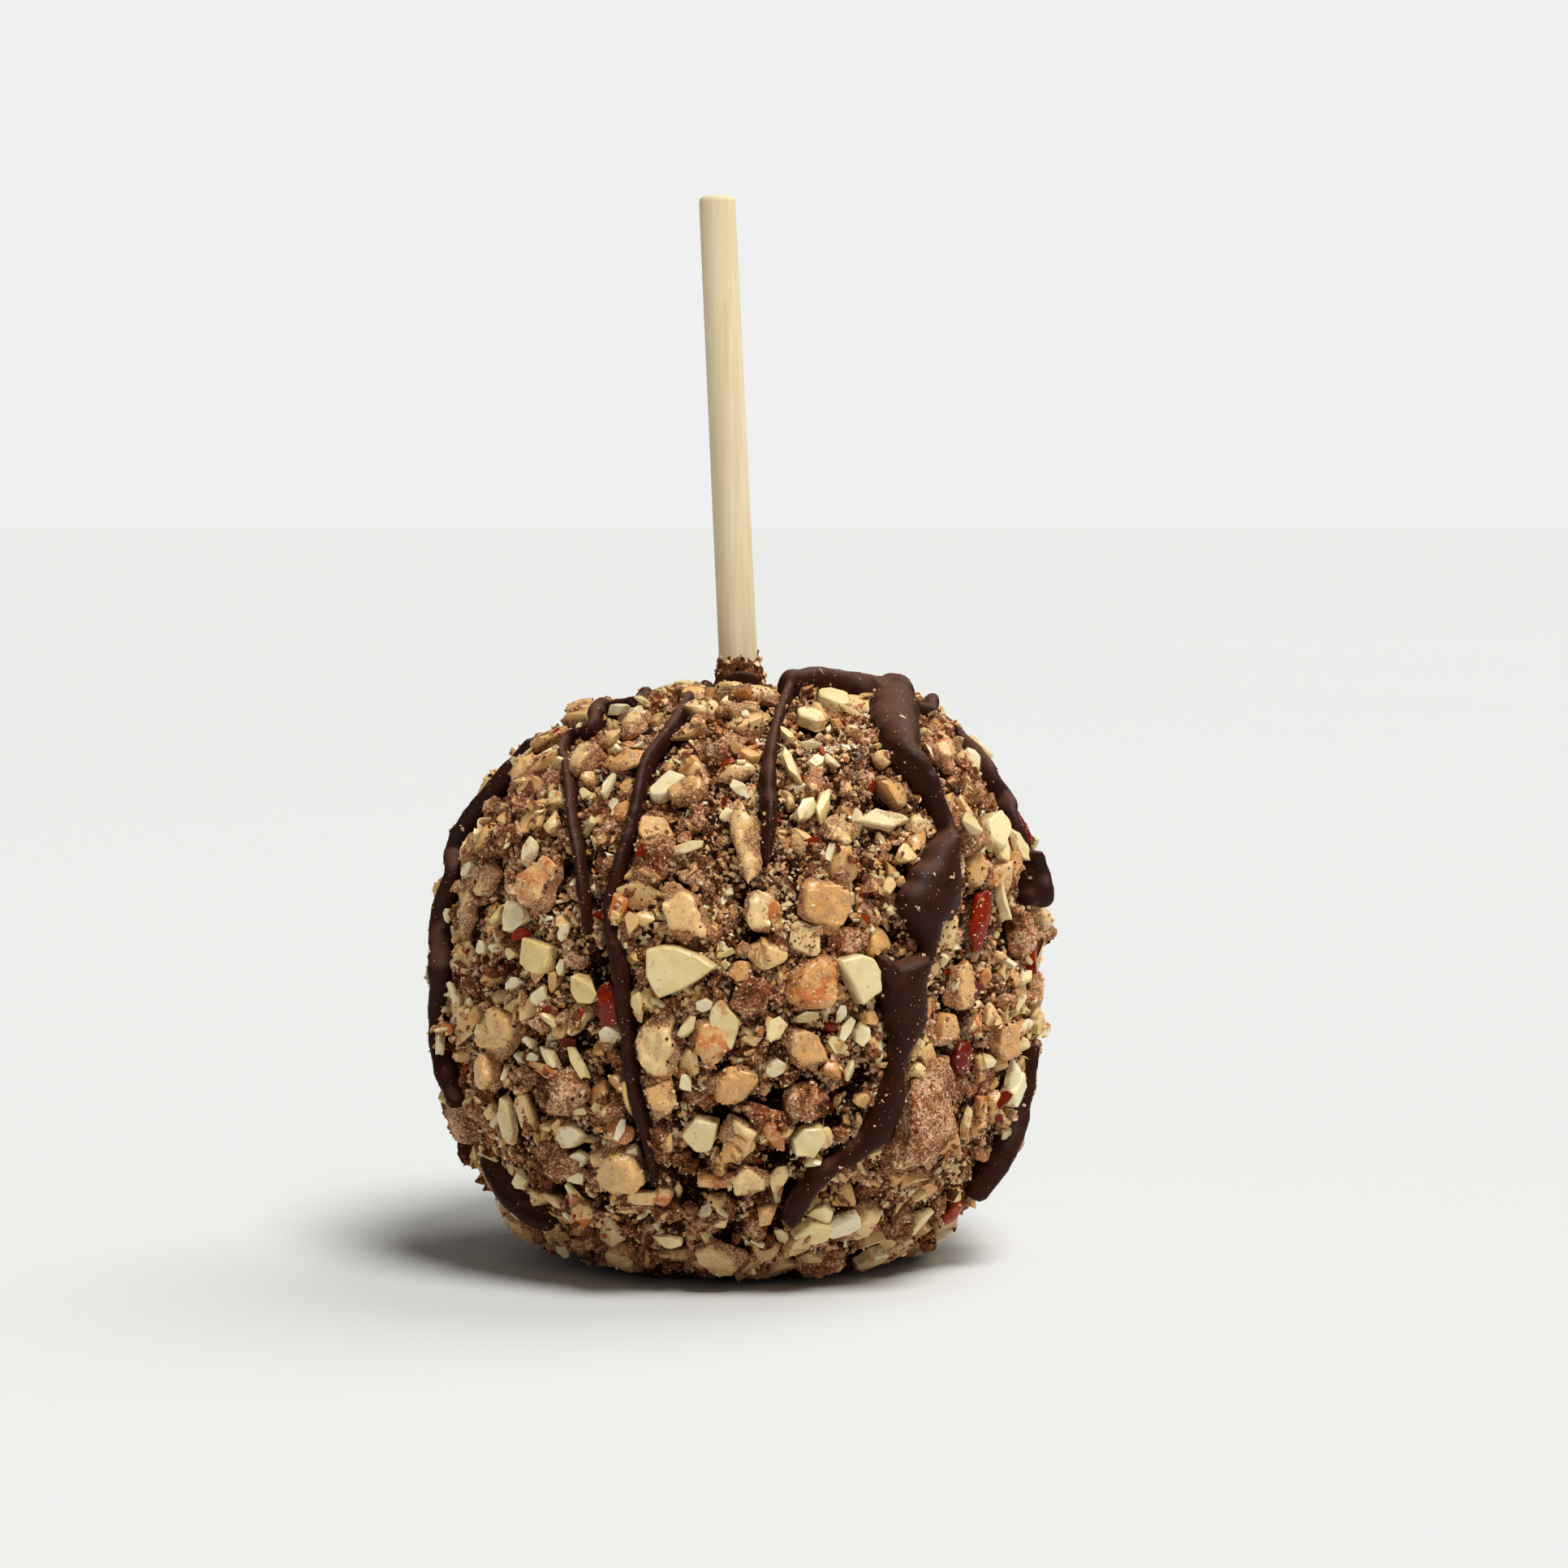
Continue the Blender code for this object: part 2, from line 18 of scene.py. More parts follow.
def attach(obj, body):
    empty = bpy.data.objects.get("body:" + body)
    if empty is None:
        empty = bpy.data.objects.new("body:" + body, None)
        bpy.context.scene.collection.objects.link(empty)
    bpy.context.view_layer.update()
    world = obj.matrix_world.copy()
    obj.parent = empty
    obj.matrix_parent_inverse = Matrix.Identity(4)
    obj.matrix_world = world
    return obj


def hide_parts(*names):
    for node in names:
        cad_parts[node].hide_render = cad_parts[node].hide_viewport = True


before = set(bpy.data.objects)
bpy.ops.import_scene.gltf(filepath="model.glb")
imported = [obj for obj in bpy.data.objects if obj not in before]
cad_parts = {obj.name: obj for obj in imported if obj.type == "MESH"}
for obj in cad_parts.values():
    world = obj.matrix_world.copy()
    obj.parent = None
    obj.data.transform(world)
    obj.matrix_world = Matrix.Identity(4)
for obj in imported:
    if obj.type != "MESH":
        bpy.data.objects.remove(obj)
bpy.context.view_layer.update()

bl_info = {
    "name": "Caramel apple",
    "version": (1, 0, 0),
    "blender": (4, 5, 0),
    "location": "View3D > Sidebar > Caramel apple",
    "description": "Builds a caramel apple with toffee, almonds and drizzle on its stick",
    "category": "Add Mesh",
}

MM = 0.001
BODY = "root"

# The coated apple: a superellipse turned about +Z, cut off flat at its foot.
BODY_RADIUS = 43.3
BODY_MIDDLE = 42.0
MIDDLE = Vector((0, 0, BODY_MIDDLE))
CROWN_HEIGHT = 41.0
FOOT_DEPTH = 46.0
BODY_POWER = 2.6
CROWN_DIP = 1.8
CROWN_DIP_RADIUS = 9.0
SHOULDER_SKEW = 3.6
LUMP_HEIGHT, LUMP_COUNT = 1.7, 2.6
KNOB_HEIGHT, KNOB_COUNT = 0.9, 5.2

# The stick, and the cuff of coating that climbs it.
STICK_LENGTH = 114.3
STICK_TOP_HEIGHT = 154.2
STICK_TOP_RADIUS = 2.62
STICK_FOOT_RADIUS = 2.94
STICK_TOP_SHIFT = -2.7
STICK_LEAN = math.radians(-2.6)
STICK_ROUNDING = 0.9
CUFF_FOOT_HEIGHT, CUFF_HEIGHT = 79.0, 8.6
CUFF_FOOT_RADIUS, CUFF_TOP_RADIUS = 5.2, 3.4

# Places on the front are given as seen from this point, where the line of sight meets
# the upright plane through the middle: millimetres to the right and above the foot.
EYE = Vector((7.0, -650.0, 115.0))
EDGE_DEPTH = 0.8
HIT_STEPS = 160
NUDGE = 0.05

TOFFEE, ALMOND, COCOA, SKIN = "toffee", "almond", "cocoa", "skin"
TOASTED, DUST, GRIT = "toasted", "dust", "grit"
PROUD = {TOFFEE: 0.56, ALMOND: 0.62, COCOA: 0.50, SKIN: 0.60}
THICKNESS = {TOFFEE: 0.75, ALMOND: 0.50, COCOA: 0.80, SKIN: 0.55}
ROUGHNESS = {TOFFEE: 0.14, ALMOND: 0.24, COCOA: 0.24, SKIN: 0.12}
FIRM_EDGED = (ALMOND,)

# The pieces that stand out on the front: kind, right, up, length, width, turn in degrees.
FRONT_PIECES = (
    (COCOA, 26.9, 18.7, 18.0, 12.0, 80),
    (ALMOND, -7.9, 41.4, 10.0, 6.6, 15),
    (ALMOND, 17.2, 40.2, 8.6, 6.8, 100),
    (TOFFEE, -34.3, 32.1, 8.2, 7.4, 20),
    (TOFFEE, -36.2, 26.6, 6.4, 5.0, 60),
    (TOFFEE, -11.8, 30.6, 9.6, 6.0, 80),
    (TOFFEE, -16.6, 12.5, 8.6, 7.8, 10),
    (TOFFEE, 13.1, 51.5, 8.2, 7.0, 160),
    (TOFFEE, -7.6, 50.0, 10.6, 5.6, 135),
    (TOFFEE, 11.0, 39.2, 8.6, 7.4, 60),
    (TOFFEE, 9.9, 30.3, 8.0, 5.2, 140),
    (TOFFEE, -0.4, 24.8, 7.2, 5.6, 20),
    (TOFFEE, 1.5, 60.2, 14.0, 3.8, 100),
    (TOFFEE, -22.0, 72.2, 5.8, 5.2, 80),
    (TOFFEE, 29.8, 73.2, 5.6, 5.2, 20),
    (TOFFEE, -6.9, 67.8, 6.0, 5.0, 30),
    (TOFFEE, -38.7, 59.1, 6.6, 4.0, 95),
    (TOFFEE, -39.0, 50.0, 6.6, 3.8, 80),
    (TOFFEE, -11.1, 23.1, 6.8, 5.0, 75),
    (TOFFEE, -3.9, 31.7, 6.8, 5.2, 100),
    (TOFFEE, 14.6, 62.0, 5.2, 4.6, 0),
    (TOFFEE, 3.4, 50.0, 6.6, 5.2, 95),
    (TOFFEE, 0.1, 17.3, 6.4, 5.2, 80),
    (TOFFEE, 1.9, 11.1, 6.2, 4.6, 15),
    (ALMOND, -1.4, 34.0, 6.6, 4.6, 100),
    (ALMOND, -33.1, 19.4, 7.8, 3.0, 85),
    (ALMOND, 21.2, 63.3, 8.4, 2.8, 172),
    (ALMOND, -9.7, 68.5, 6.0, 4.2, 45),
    (ALMOND, 10.3, 16.9, 5.0, 4.2, 30),
    (ALMOND, -5.0, 18.0, 5.2, 4.6, 60),
    (ALMOND, 11.4, 3.4, 6.2, 4.0, 20),
    (COCOA, -41.0, 19.4, 7.6, 6.6, 60),
    (COCOA, 31.2, 79.0, 5.6, 4.6, 10),
    (COCOA, 9.9, 22.4, 7.0, 6.0, 40),
    (COCOA, 2.2, 38.1, 6.8, 5.6, 0),
    (COCOA, 41.2, 47.6, 9.0, 6.4, 90),
    (SKIN, 35.3, 49.4, 8.4, 3.6, 65),
    (SKIN, -18.5, 36.7, 6.2, 3.4, 95),
    (SKIN, 32.9, 28.9, 5.0, 3.4, 80),
    (SKIN, 32.0, 5.4, 4.2, 3.2, 80),
)

# The rest are spread by chance: kind, how many, shortest and longest.
SCATTER = (
    (COCOA, 18, 6.4, 10.5),
    (TOFFEE, 42, 5.8, 8.8),
    (ALMOND, 30, 5.2, 7.6),
    (SKIN, 5, 4.8, 6.4),
)
SCATTER_SEED = 11
SCATTER_SPACING = 0.56
SCATTER_TRIES = 500
SCATTER_LOWEST, SCATTER_CUFF_CLEARANCE = 3.0, 9.0

# The drizzle on the front: right, up and width at each turn of a strand.
FRONT_STRANDS = (
    ((-30.4, 75.3, 1.6), (-36.5, 68.1, 2.0), (-41.0, 60.2, 1.8), (-40.7, 55.8, 1.8),
     (-42.8, 48.6, 2.6), (-43.6, 41.5, 3.4), (-43.3, 35.5, 2.2), (-40.8, 27.8, 2.0),
     (-39.6, 23.0, 1.4)),
    ((-36.3, 13.9, 2.0), (-33.2, 9.3, 3.0), (-27.4, 4.9, 2.4)),
    ((-14.0, 83.0, 1.8), (-19.0, 80.6, 2.2), (-20.4, 77.2, 3.0), (-24.2, 75.3, 2.2),
     (-24.6, 70.6, 1.8), (-23.7, 64.4, 2.0), (-22.6, 58.4, 1.6), (-22.0, 52.2, 1.8),
     (-21.5, 47.4, 1.4)),
    ((-3.9, 81.9, 2.0), (-8.6, 77.9, 2.0), (-12.8, 71.8, 2.0), (-14.6, 64.4, 2.0),
     (-17.0, 56.2, 2.2), (-18.4, 49.8, 2.0), (-17.0, 42.8, 2.4), (-15.8, 33.2, 2.0),
     (-15.0, 25.2, 2.0), (-13.0, 17.2, 1.8), (-11.9, 10.6, 1.2)),
    ((8.0, 83.6, 1.8), (5.8, 77.2, 1.6), (4.6, 70.0, 2.4), (4.8, 62.7, 2.2),
     (4.2, 57.6, 1.6)),
    ((8.0, 83.8, 2.4), (14.9, 84.6, 2.8), (19.6, 83.0, 3.2), (23.4, 83.4, 4.4)),
    ((23.4, 83.4, 4.4), (24.2, 79.0, 6.8), (24.0, 74.2, 5.8), (27.0, 68.8, 4.6),
     (30.0, 62.0, 3.4), (30.6, 57.6, 4.4), (28.6, 51.8, 9.6), (27.0, 46.6, 5.4),
     (26.4, 42.4, 3.4), (24.2, 37.4, 7.0), (23.6, 31.6, 6.0), (21.8, 25.4, 4.2),
     (20.2, 19.2, 5.4), (15.0, 13.4, 4.4), (9.4, 9.8, 4.0), (7.4, 4.8, 3.4)),
    ((28.6, 80.0, 2.0), (34.2, 73.0, 2.2), (40.4, 67.2, 2.4), (42.0, 62.0, 2.0),
     (44.4, 57.0, 2.8), (46.9, 52.9, 2.2)),
    ((43.8, 29.4, 1.8), (42.4, 21.0, 2.8), (39.4, 14.4, 3.2), (36.4, 7.6, 2.4)),
)

# The drizzle over the crown and down the back carries on from the front strands, in
# slices across the apple: which front strand, right at the end, first and last angle
# from straight up towards the back in degrees, and width.
BACK_STRANDS = (
    (2, -22.0, 2.0, 112.0, 2.0),
    (3, -7.0, 4.0, 66.0, 2.0),
    (4, 3.0, 4.0, 128.0, 2.2),
    (6, 15.0, 4.0, 96.0, 4.2),
    (7, 30.0, 8.0, 118.0, 2.4),
    (0, -34.0, 12.0, 74.0, 1.8),
)
BACK_STRAND_STEP = 10.0
BACK_STRAND_SWING = 1.6
STRAND_RISE_SHARE, STRAND_LOWEST_RISE, STRAND_HIGHEST_RISE = 0.62, 1.1, 2.4
STRAND_PIECE_GAP = 0.5
STRAND_STEP = 9.0
FINE_STRAND_STEP = 1.0
STRAND_TIP = (0.4, 0.7, 0.9, 0.98)

# Some strands more closely, by their place in the list above: right, up and width, and how
# far the strand stands off the coating like a rope. None adds a short strand, such as a
# knob, a horn or a drop at an end.
STRAND_DETAILS = (
    (0, 1.1, (
        (-30.4, 75.3, 1.8), (-36.5, 68.1, 2.2), (-41.0, 60.2, 2.0), (-41.4, 55.8, 1.9),
        (-43.6, 48.6, 2.3), (-44.6, 41.5, 2.7), (-44.0, 35.5, 1.9), (-41.6, 27.8, 2.1),
        (-39.8, 22.4, 1.6),
    )),
    (2, 0.0, (
        (-14.2, 83.4, 1.6), (-16.3, 82.8, 1.6), (-18.3, 81.8, 1.8), (-19.6, 80.4, 2.3),
        (-20.2, 78.9, 2.3), (-20.5, 77.4, 1.9), (-21.7, 76.2, 1.4), (-23.5, 75.8, 1.3),
        (-24.7, 74.7, 1.4), (-25.1, 73.2, 1.4), (-24.5, 71.7, 1.7), (-24.1, 69.2, 1.6),
        (-23.8, 65.6, 1.4), (-23.4, 62.0, 1.8), (-22.6, 57.8, 1.5), (-22.0, 52.2, 1.6),
        (-21.5, 47.4, 1.2),
    )),
    (5, 0.6, ((8.0, 83.6, 3.2), (12.0, 84.8, 4.0), (16.4, 84.4, 3.8), (20.4, 82.6, 5.0))),
    (6, 0.0, (
        (19.6, 83.0, 4.6), (22.2, 81.2, 8.2), (23.1, 77.1, 7.6), (24.0, 73.2, 5.0),
        (25.7, 71.3, 3.8), (26.9, 69.4, 3.7), (28.4, 67.0, 2.8), (29.7, 64.4, 2.3),
        (30.6, 61.4, 2.2), (29.8, 58.4, 6.2), (29.5, 56.0, 7.8), (28.4, 53.0, 9.6),
        (27.3, 50.4, 10.0), (27.3, 48.2, 5.6), (27.6, 45.6, 2.9), (27.2, 43.4, 2.4),
        (25.0, 41.0, 6.2), (24.3, 38.2, 7.6), (24.5, 35.1, 6.8), (24.1, 32.1, 4.4),
        (23.6, 30.2, 3.1), (23.2, 27.6, 2.5), (22.9, 24.9, 3.0), (22.1, 21.9, 3.9),
        (20.5, 18.6, 4.2), (18.2, 15.9, 3.1), (15.4, 13.9, 2.6), (12.2, 11.6, 2.4),
        (9.6, 8.8, 2.8), (8.0, 5.4, 2.4),
    )),
    (7, 0.3, (
        (27.4, 80.3, 1.8), (29.0, 78.0, 1.8), (32.2, 76.0, 1.9), (35.3, 73.2, 2.1),
        (37.7, 70.5, 2.2), (40.8, 68.1, 2.4), (42.6, 66.5, 2.2), (42.6, 64.2, 1.8),
        (42.0, 61.8, 1.1), (42.6, 59.0, 1.4), (44.8, 57.1, 2.4), (46.6, 54.3, 2.8),
        (46.6, 53.2, 2.2),
    )),
    (8, 0.3, ((43.8, 30.4, 1.3), (42.8, 21.0, 2.2), (39.8, 14.4, 2.9), (36.6, 7.6, 2.6))),
    (None, 1.4, ((22.4, 83.0, 3.4), (23.2, 82.2, 4.4), (23.8, 80.4, 3.4))),
    (None, 0.0, ((21.2, 43.0, 2.0), (22.2, 40.6, 3.4), (23.4, 38.2, 4.0))),
    (None, 2.0, ((43.4, 58.8, 1.2), (45.4, 56.6, 2.2), (46.6, 54.4, 2.8), (46.9, 52.6, 2.2))),
)
# Pale granules that stick to it: right, up and size.
GRANULES = (
    (30.9, 56.2, 1.3), (32.1, 55.7, 1.4), (29.4, 54.8, 1.2), (31.3, 52.8, 1.5),
    (27.2, 55.4, 0.8), (25.0, 50.6, 0.9), (28.2, 69.6, 0.8), (29.6, 65.8, 0.7),
    (26.0, 24.0, 1.3), (24.6, 21.6, 1.2), (25.4, 19.8, 1.0), (27.0, 22.6, 0.9),
    (16.0, 16.4, 1.6), (26.6, 34.2, 0.9), (12.4, 83.6, 0.9), (14.6, 13.4, 0.9),
)

# Outlines of the almond slices that can be told apart on the front, by their place in the
# list above: right and up from the middle of the slice.
SLICE_OUTLINES = {
    1: ((-5.0, 3.2), (-2.6, 3.8), (-0.3, 3.6), (2.6, 2.5), (5.1, 0.9), (1.2, -1.9),
        (-3.1, -3.7), (-4.9, -0.4)),
    2: ((-3.4, 3.2), (0.2, 3.9), (2.3, 3.2), (3.4, 1.4), (3.5, -1.6), (0.6, -3.5),
        (-1.4, 0.0)),
}

# Smaller pieces that can be told apart on the front, by region from the crown down, laid
# out as the pieces above are. Toasted ones are toffee with orange-brown ends.
FRONT_CHIPS = (
    (TOFFEE, -7.4, 82.6, 8.6, 4.6, 0), (TOFFEE, -29.5, 76.5, 9.0, 3.0, 40),
    (TOFFEE, -23.5, 80.6, 8.0, 3.0, 25), (COCOA, 31.6, 79.6, 5.2, 4.4, 10),
    (COCOA, -12.0, 82.0, 5.6, 4.6, 60), (ALMOND, -16.9, 79.4, 3.9, 1.7, 20),
    (COCOA, -43.8, 17.4, 8.0, 7.0, 60),
    (TOFFEE, -27.6, 76.9, 5.0, 4.4, 30), (TOFFEE, -27.0, 72.5, 5.4, 4.0, 60),
    (TOFFEE, -30.4, 71.1, 4.2, 3.4, 100), (TOFFEE, -15.6, 71.9, 5.2, 3.0, 5),
    (TOFFEE, -17.9, 72.2, 2.6, 2.4, 0), (TOFFEE, -6.9, 76.5, 4.4, 3.4, 60),
    (TOFFEE, -4.4, 79.4, 5.6, 3.6, 10), (COCOA, -1.8, 74.0, 6.6, 5.2, 10),
    (TOFFEE, 3.4, 81.4, 6.2, 3.0, 10), (TOFFEE, 1.5, 77.4, 4.8, 4.3, 60),
    (TOFFEE, -0.4, 70.5, 5.6, 3.0, 10), (TOASTED, 5.6, 49.6, 4.6, 1.6, 100),
    (SKIN, -1.2, 71.7, 1.8, 1.2, 20), (ALMOND, -18.3, 68.3, 3.6, 1.2, 85),
    (ALMOND, 7.3, 75.8, 2.8, 1.6, 100), (ALMOND, 8.0, 70.9, 5.6, 2.0, 110),
    (ALMOND, 11.4, 71.7, 2.2, 1.8, 45), (TOFFEE, 11.7, 79.0, 4.6, 3.5, 70),
    (TOFFEE, 10.9, 81.9, 2.2, 1.8, 60), (TOFFEE, 15.6, 67.9, 2.0, 1.6, 0),
    (TOFFEE, 34.1, 68.6, 3.8, 2.8, 140), (ALMOND, 34.2, 72.2, 3.6, 3.4, 10),
    (ALMOND, -26.0, 66.6, 3.0, 2.2, 150), (ALMOND, -21.8, 67.2, 1.8, 1.6, 0),
    (TOFFEE, -26.4, 63.1, 3.2, 2.4, 90), (TOFFEE, -29.3, 63.5, 4.4, 3.8, 60),
    (COCOA, -34.0, 60.6, 7.2, 5.6, 40), (ALMOND, -29.7, 58.8, 3.9, 2.2, 80),
    (ALMOND, -27.1, 55.5, 3.0, 2.7, 40), (COCOA, -12.1, 57.6, 8.0, 6.6, 30),
    (ALMOND, -1.4, 64.2, 1.8, 1.6, 0), (ALMOND, 9.9, 64.9, 3.6, 2.3, 30),
    (ALMOND, 12.5, 65.3, 4.8, 2.1, 75), (COCOA, 32.4, 62.4, 8.2, 5.0, 110),
    (ALMOND, 41.0, 60.2, 5.0, 2.4, 85), (ALMOND, 38.1, 59.9, 4.4, 2.1, 80),
    (TOASTED, 37.3, 55.1, 2.6, 1.6, 60), (ALMOND, 38.3, 51.6, 5.2, 2.1, 95),
    (TOASTED, -30.4, 53.4, 2.8, 1.4, 15), (ALMOND, -6.9, 59.5, 4.2, 1.4, 12),
    (ALMOND, -31.8, 49.7, 4.6, 4.0, 30), (SKIN, -31.0, 47.0, 2.6, 1.6, 30),
    (TOASTED, -17.3, 50.7, 4.6, 3.2, 75), (TOFFEE, -13.2, 49.2, 3.0, 2.0, 0),
    (ALMOND, -36.7, 45.1, 1.9, 1.8, 0), (ALMOND, -35.0, 45.1, 1.7, 1.5, 40),
    (ALMOND, -32.4, 44.1, 2.0, 1.5, 160), (ALMOND, -24.7, 47.3, 2.6, 1.2, 80),
    (ALMOND, -25.3, 42.1, 2.2, 1.0, 80), (TOFFEE, -28.7, 41.6, 3.0, 2.4, 80),
    (ALMOND, -32.2, 39.9, 2.8, 1.4, 20), (ALMOND, -28.4, 38.1, 2.8, 2.0, 70),
    (ALMOND, -22.0, 38.9, 4.4, 3.2, 150), (TOFFEE, -13.2, 37.3, 3.2, 2.8, 20),
    (TOASTED, 0.6, 41.6, 3.2, 2.6, 10), (ALMOND, -4.7, 36.6, 2.3, 1.8, 0),
    (TOFFEE, 5.3, 33.4, 3.2, 1.5, 120), (ALMOND, 10.1, 35.0, 3.2, 1.4, 10),
    (ALMOND, 15.7, 33.1, 3.4, 1.4, 60), (ALMOND, 15.1, 35.3, 2.4, 1.2, 80),
    (ALMOND, 32.3, 40.5, 4.6, 2.3, 60), (SKIN, 44.6, 43.2, 3.6, 1.5, 85),
    (TOASTED, 34.4, 33.6, 3.8, 2.1, 20), (ALMOND, -18.1, 32.4, 3.4, 2.6, 20),
    (COCOA, -27.4, 35.1, 3.8, 2.6, 60), (ALMOND, -30.0, 31.0, 2.0, 1.8, 0),
    (ALMOND, -29.3, 29.1, 2.0, 1.2, 0), (ALMOND, -26.7, 29.1, 3.6, 1.6, 140),
    (TOASTED, -26.7, 26.9, 6.5, 1.6, 160), (ALMOND, -22.7, 28.2, 4.8, 1.5, 115),
    (TOASTED, -42.0, 33.1, 5.4, 4.2, 80), (ALMOND, -7.0, 33.4, 3.4, 1.6, 60),
    (ALMOND, -7.3, 25.4, 2.4, 1.6, 110), (TOFFEE, -3.5, 30.0, 4.0, 3.2, 60),
    (ALMOND, 5.6, 27.4, 2.8, 2.4, 0), (ALMOND, 16.4, 27.1, 2.8, 1.2, 80),
    (ALMOND, 18.2, 32.4, 3.0, 2.1, 70), (ALMOND, 41.4, 30.6, 3.0, 2.4, 20),
    (ALMOND, 39.9, 25.6, 5.6, 2.1, 80), (TOASTED, 35.4, 22.7, 2.8, 2.0, 140),
    (ALMOND, 33.4, 19.4, 4.6, 1.7, 90), (TOFFEE, -30.3, 21.1, 5.2, 2.6, 100),
    (TOFFEE, -15.5, 22.4, 5.8, 2.2, 100), (COCOA, -18.5, 20.8, 4.6, 3.6, 20),
    (TOASTED, -16.8, 18.2, 4.2, 3.2, 0), (TOASTED, -13.6, 8.6, 4.4, 1.8, 0),
    (ALMOND, -23.9, 17.6, 3.6, 3.4, 30),
    (ALMOND, -15.0, 15.3, 2.0, 1.6, 60), (COCOA, -11.2, 16.4, 5.4, 3.6, 110),
    (COCOA, 4.5, 20.6, 7.0, 3.0, 150), (TOASTED, 5.3, 17.6, 4.4, 2.4, 125),
    (TOFFEE, 12.7, 18.2, 4.0, 1.8, 100), (TOFFEE, -26.5, 12.7, 3.4, 2.4, 110),
    (TOFFEE, -24.3, 13.4, 2.8, 1.8, 150), (ALMOND, -22.6, 14.3, 2.8, 2.2, 40),
    (ALMOND, -23.2, 11.7, 2.8, 2.0, 0), (ALMOND, -23.5, 9.2, 3.2, 1.5, 120),
    (ALMOND, -31.5, 11.1, 2.8, 2.3, 90), (TOFFEE, -26.5, 8.2, 3.6, 1.6, 150),
    (TOFFEE, -0.2, 16.0, 4.8, 3.6, 45), (TOFFEE, 26.5, 10.9, 6.4, 3.2, 10),
    (TOFFEE, -32.4, 5.9, 2.8, 2.4, 0), (TOASTED, -23.0, 6.6, 6.4, 4.4, 75),
    (ALMOND, -10.1, 2.2, 4.0, 1.7, 5), (TOFFEE, 8.8, 1.7, 4.0, 3.2, 20),
    (ALMOND, 12.1, 6.0, 3.0, 2.8, 50), (ALMOND, 15.3, 4.6, 4.8, 3.0, 25),
    (SKIN, 18.6, 4.2, 4.0, 2.0, 10), (TOFFEE, 22.6, 1.3, 5.0, 4.0, 80),
    (ALMOND, 26.5, 5.3, 4.2, 2.4, 75), (TOFFEE, 24.0, 58.4, 3.2, 2.6, 20),
)

# Hollows between the pieces on the front, sunk into the coating and darkened with painted shade:
# right, up and radius. Others by chance.
FRONT_HOLLOWS = (
    (-7.6, 53.0, 2.5), (10.1, 23.9, 3.0), (5.7, 22.7, 2.5), (-2.5, 20.1, 2.8),
    (-6.3, 8.2, 4.5), (18.9, 25.9, 3.5), (13.2, 21.4, 3.0), (22.7, 47.2, 3.0),
    (40.3, 49.2, 2.5), (33.4, 34.8, 3.0), (-20.7, 43.6, 3.2), (-25.8, 57.4, 2.0),
    (-18.7, 52.5, 2.6), (-33.2, 46.1, 2.0), (-20.9, 39.0, 2.6), (-33.0, 43.0, 2.0),
    (-23.7, 30.6, 3.4), (-26.8, 24.6, 3.6), (-20.0, 25.4, 3.6), (-19.6, 36.0, 3.0),
    (-29.0, 13.5, 2.4), (-9.7, 10.8, 2.4), (-1.0, 7.4, 3.2), (3.0, 47.0, 2.4),
    (16.0, 48.0, 3.0), (30.6, 30.0, 2.6), (-38.0, 26.4, 2.6), (-35.0, 22.0, 2.6),
    (22.0, 67.0, 2.2), (8.0, 8.0, 3.0), (18.0, 8.0, 2.6), (-14.0, 27.6, 2.0),
    (-20.6, 7.4, 2.6), (-30.4, 26.0, 2.6), (-24.6, 36.4, 2.4), (16.4, 22.6, 2.6),
    (6.4, 14.0, 3.0), (-5.8, 13.6, 2.6), (31.4, 36.6, 2.6), (-35.6, 38.6, 2.2),
    (-3.3, 21.2, 2.8), (-1.3, 3.0, 3.6), (5.0, 3.4, 3.4), (14.8, 18.6, 2.8), (-7.6, 2.6, 3.2),
    (-12.6, 14.6, 2.4), (3.4, 8.6, 3.2), (-23.0, 15.6, 2.4), (-27.0, 10.0, 2.6), (-14.6, 4.0, 2.8),
)
HOLLOW_DEPTH, HOLLOW_COUNT, HOLLOW_SEED = 3.0, 70, 41

# Fields of fine crumb with no chunks in them: right, up and radius.
FRONT_FIELDS = (
    (15.5, 74.5, 5.5), (18.5, 66.0, 4.0), (-12.5, 78.5, 4.0), (-4.0, 45.0, 4.0), (36.5, 43.0, 4.5),
    (-28.5, 50.0, 4.0), (33.0, 12.0, 4.0), (7.5, 55.5, 3.5), (-16.0, 60.0, 3.0), (27.5, 35.5, 3.5),
)
# Cells and clumps of the coating under its crumbs.
COAT_CUTS = 119
COAT_SINK, CLUMP_RISE, PEBBLE_RISE, GRIT_RISE = 1.75, 0.8, 0.55, 0.22
CLUMP_COUNT, PEBBLE_COUNT, GRIT_COUNT = 0.30, 0.55, 0.9
CLUMP_LOW, CLUMP_HIGH = -0.25, 0.15

# Broken bits: sides of the block each starts from, how far its corners are pushed about,
# how many faces are broken off, rounding, and how many different ones there are.
GRAIN_RECIPES = {
    "shard": (7, 0.15, 5, 0.05, 24),
    "bit": (6, 0.18, 4, 0.0, 12),
    "sliver": (6, 0.14, 2, 0.03, 16),
    "crumb": (3, 0.16, 0, 0.0, 12),
}
# Cocoa chunks are two broken blocks grown together: how far apart, size of the second,
# smoothing steps, fine unevenness and the share of triangles kept.
CHUNK_RECIPE = (0.36, 0.78, 1, 0.15, 0.09)
CHUNK_SHAPES, FIRST_CHUNK_SEED = 24, 900
# What gathers in places of its own.
CLUSTERS = (TOFFEE, COCOA, ALMOND, SKIN)
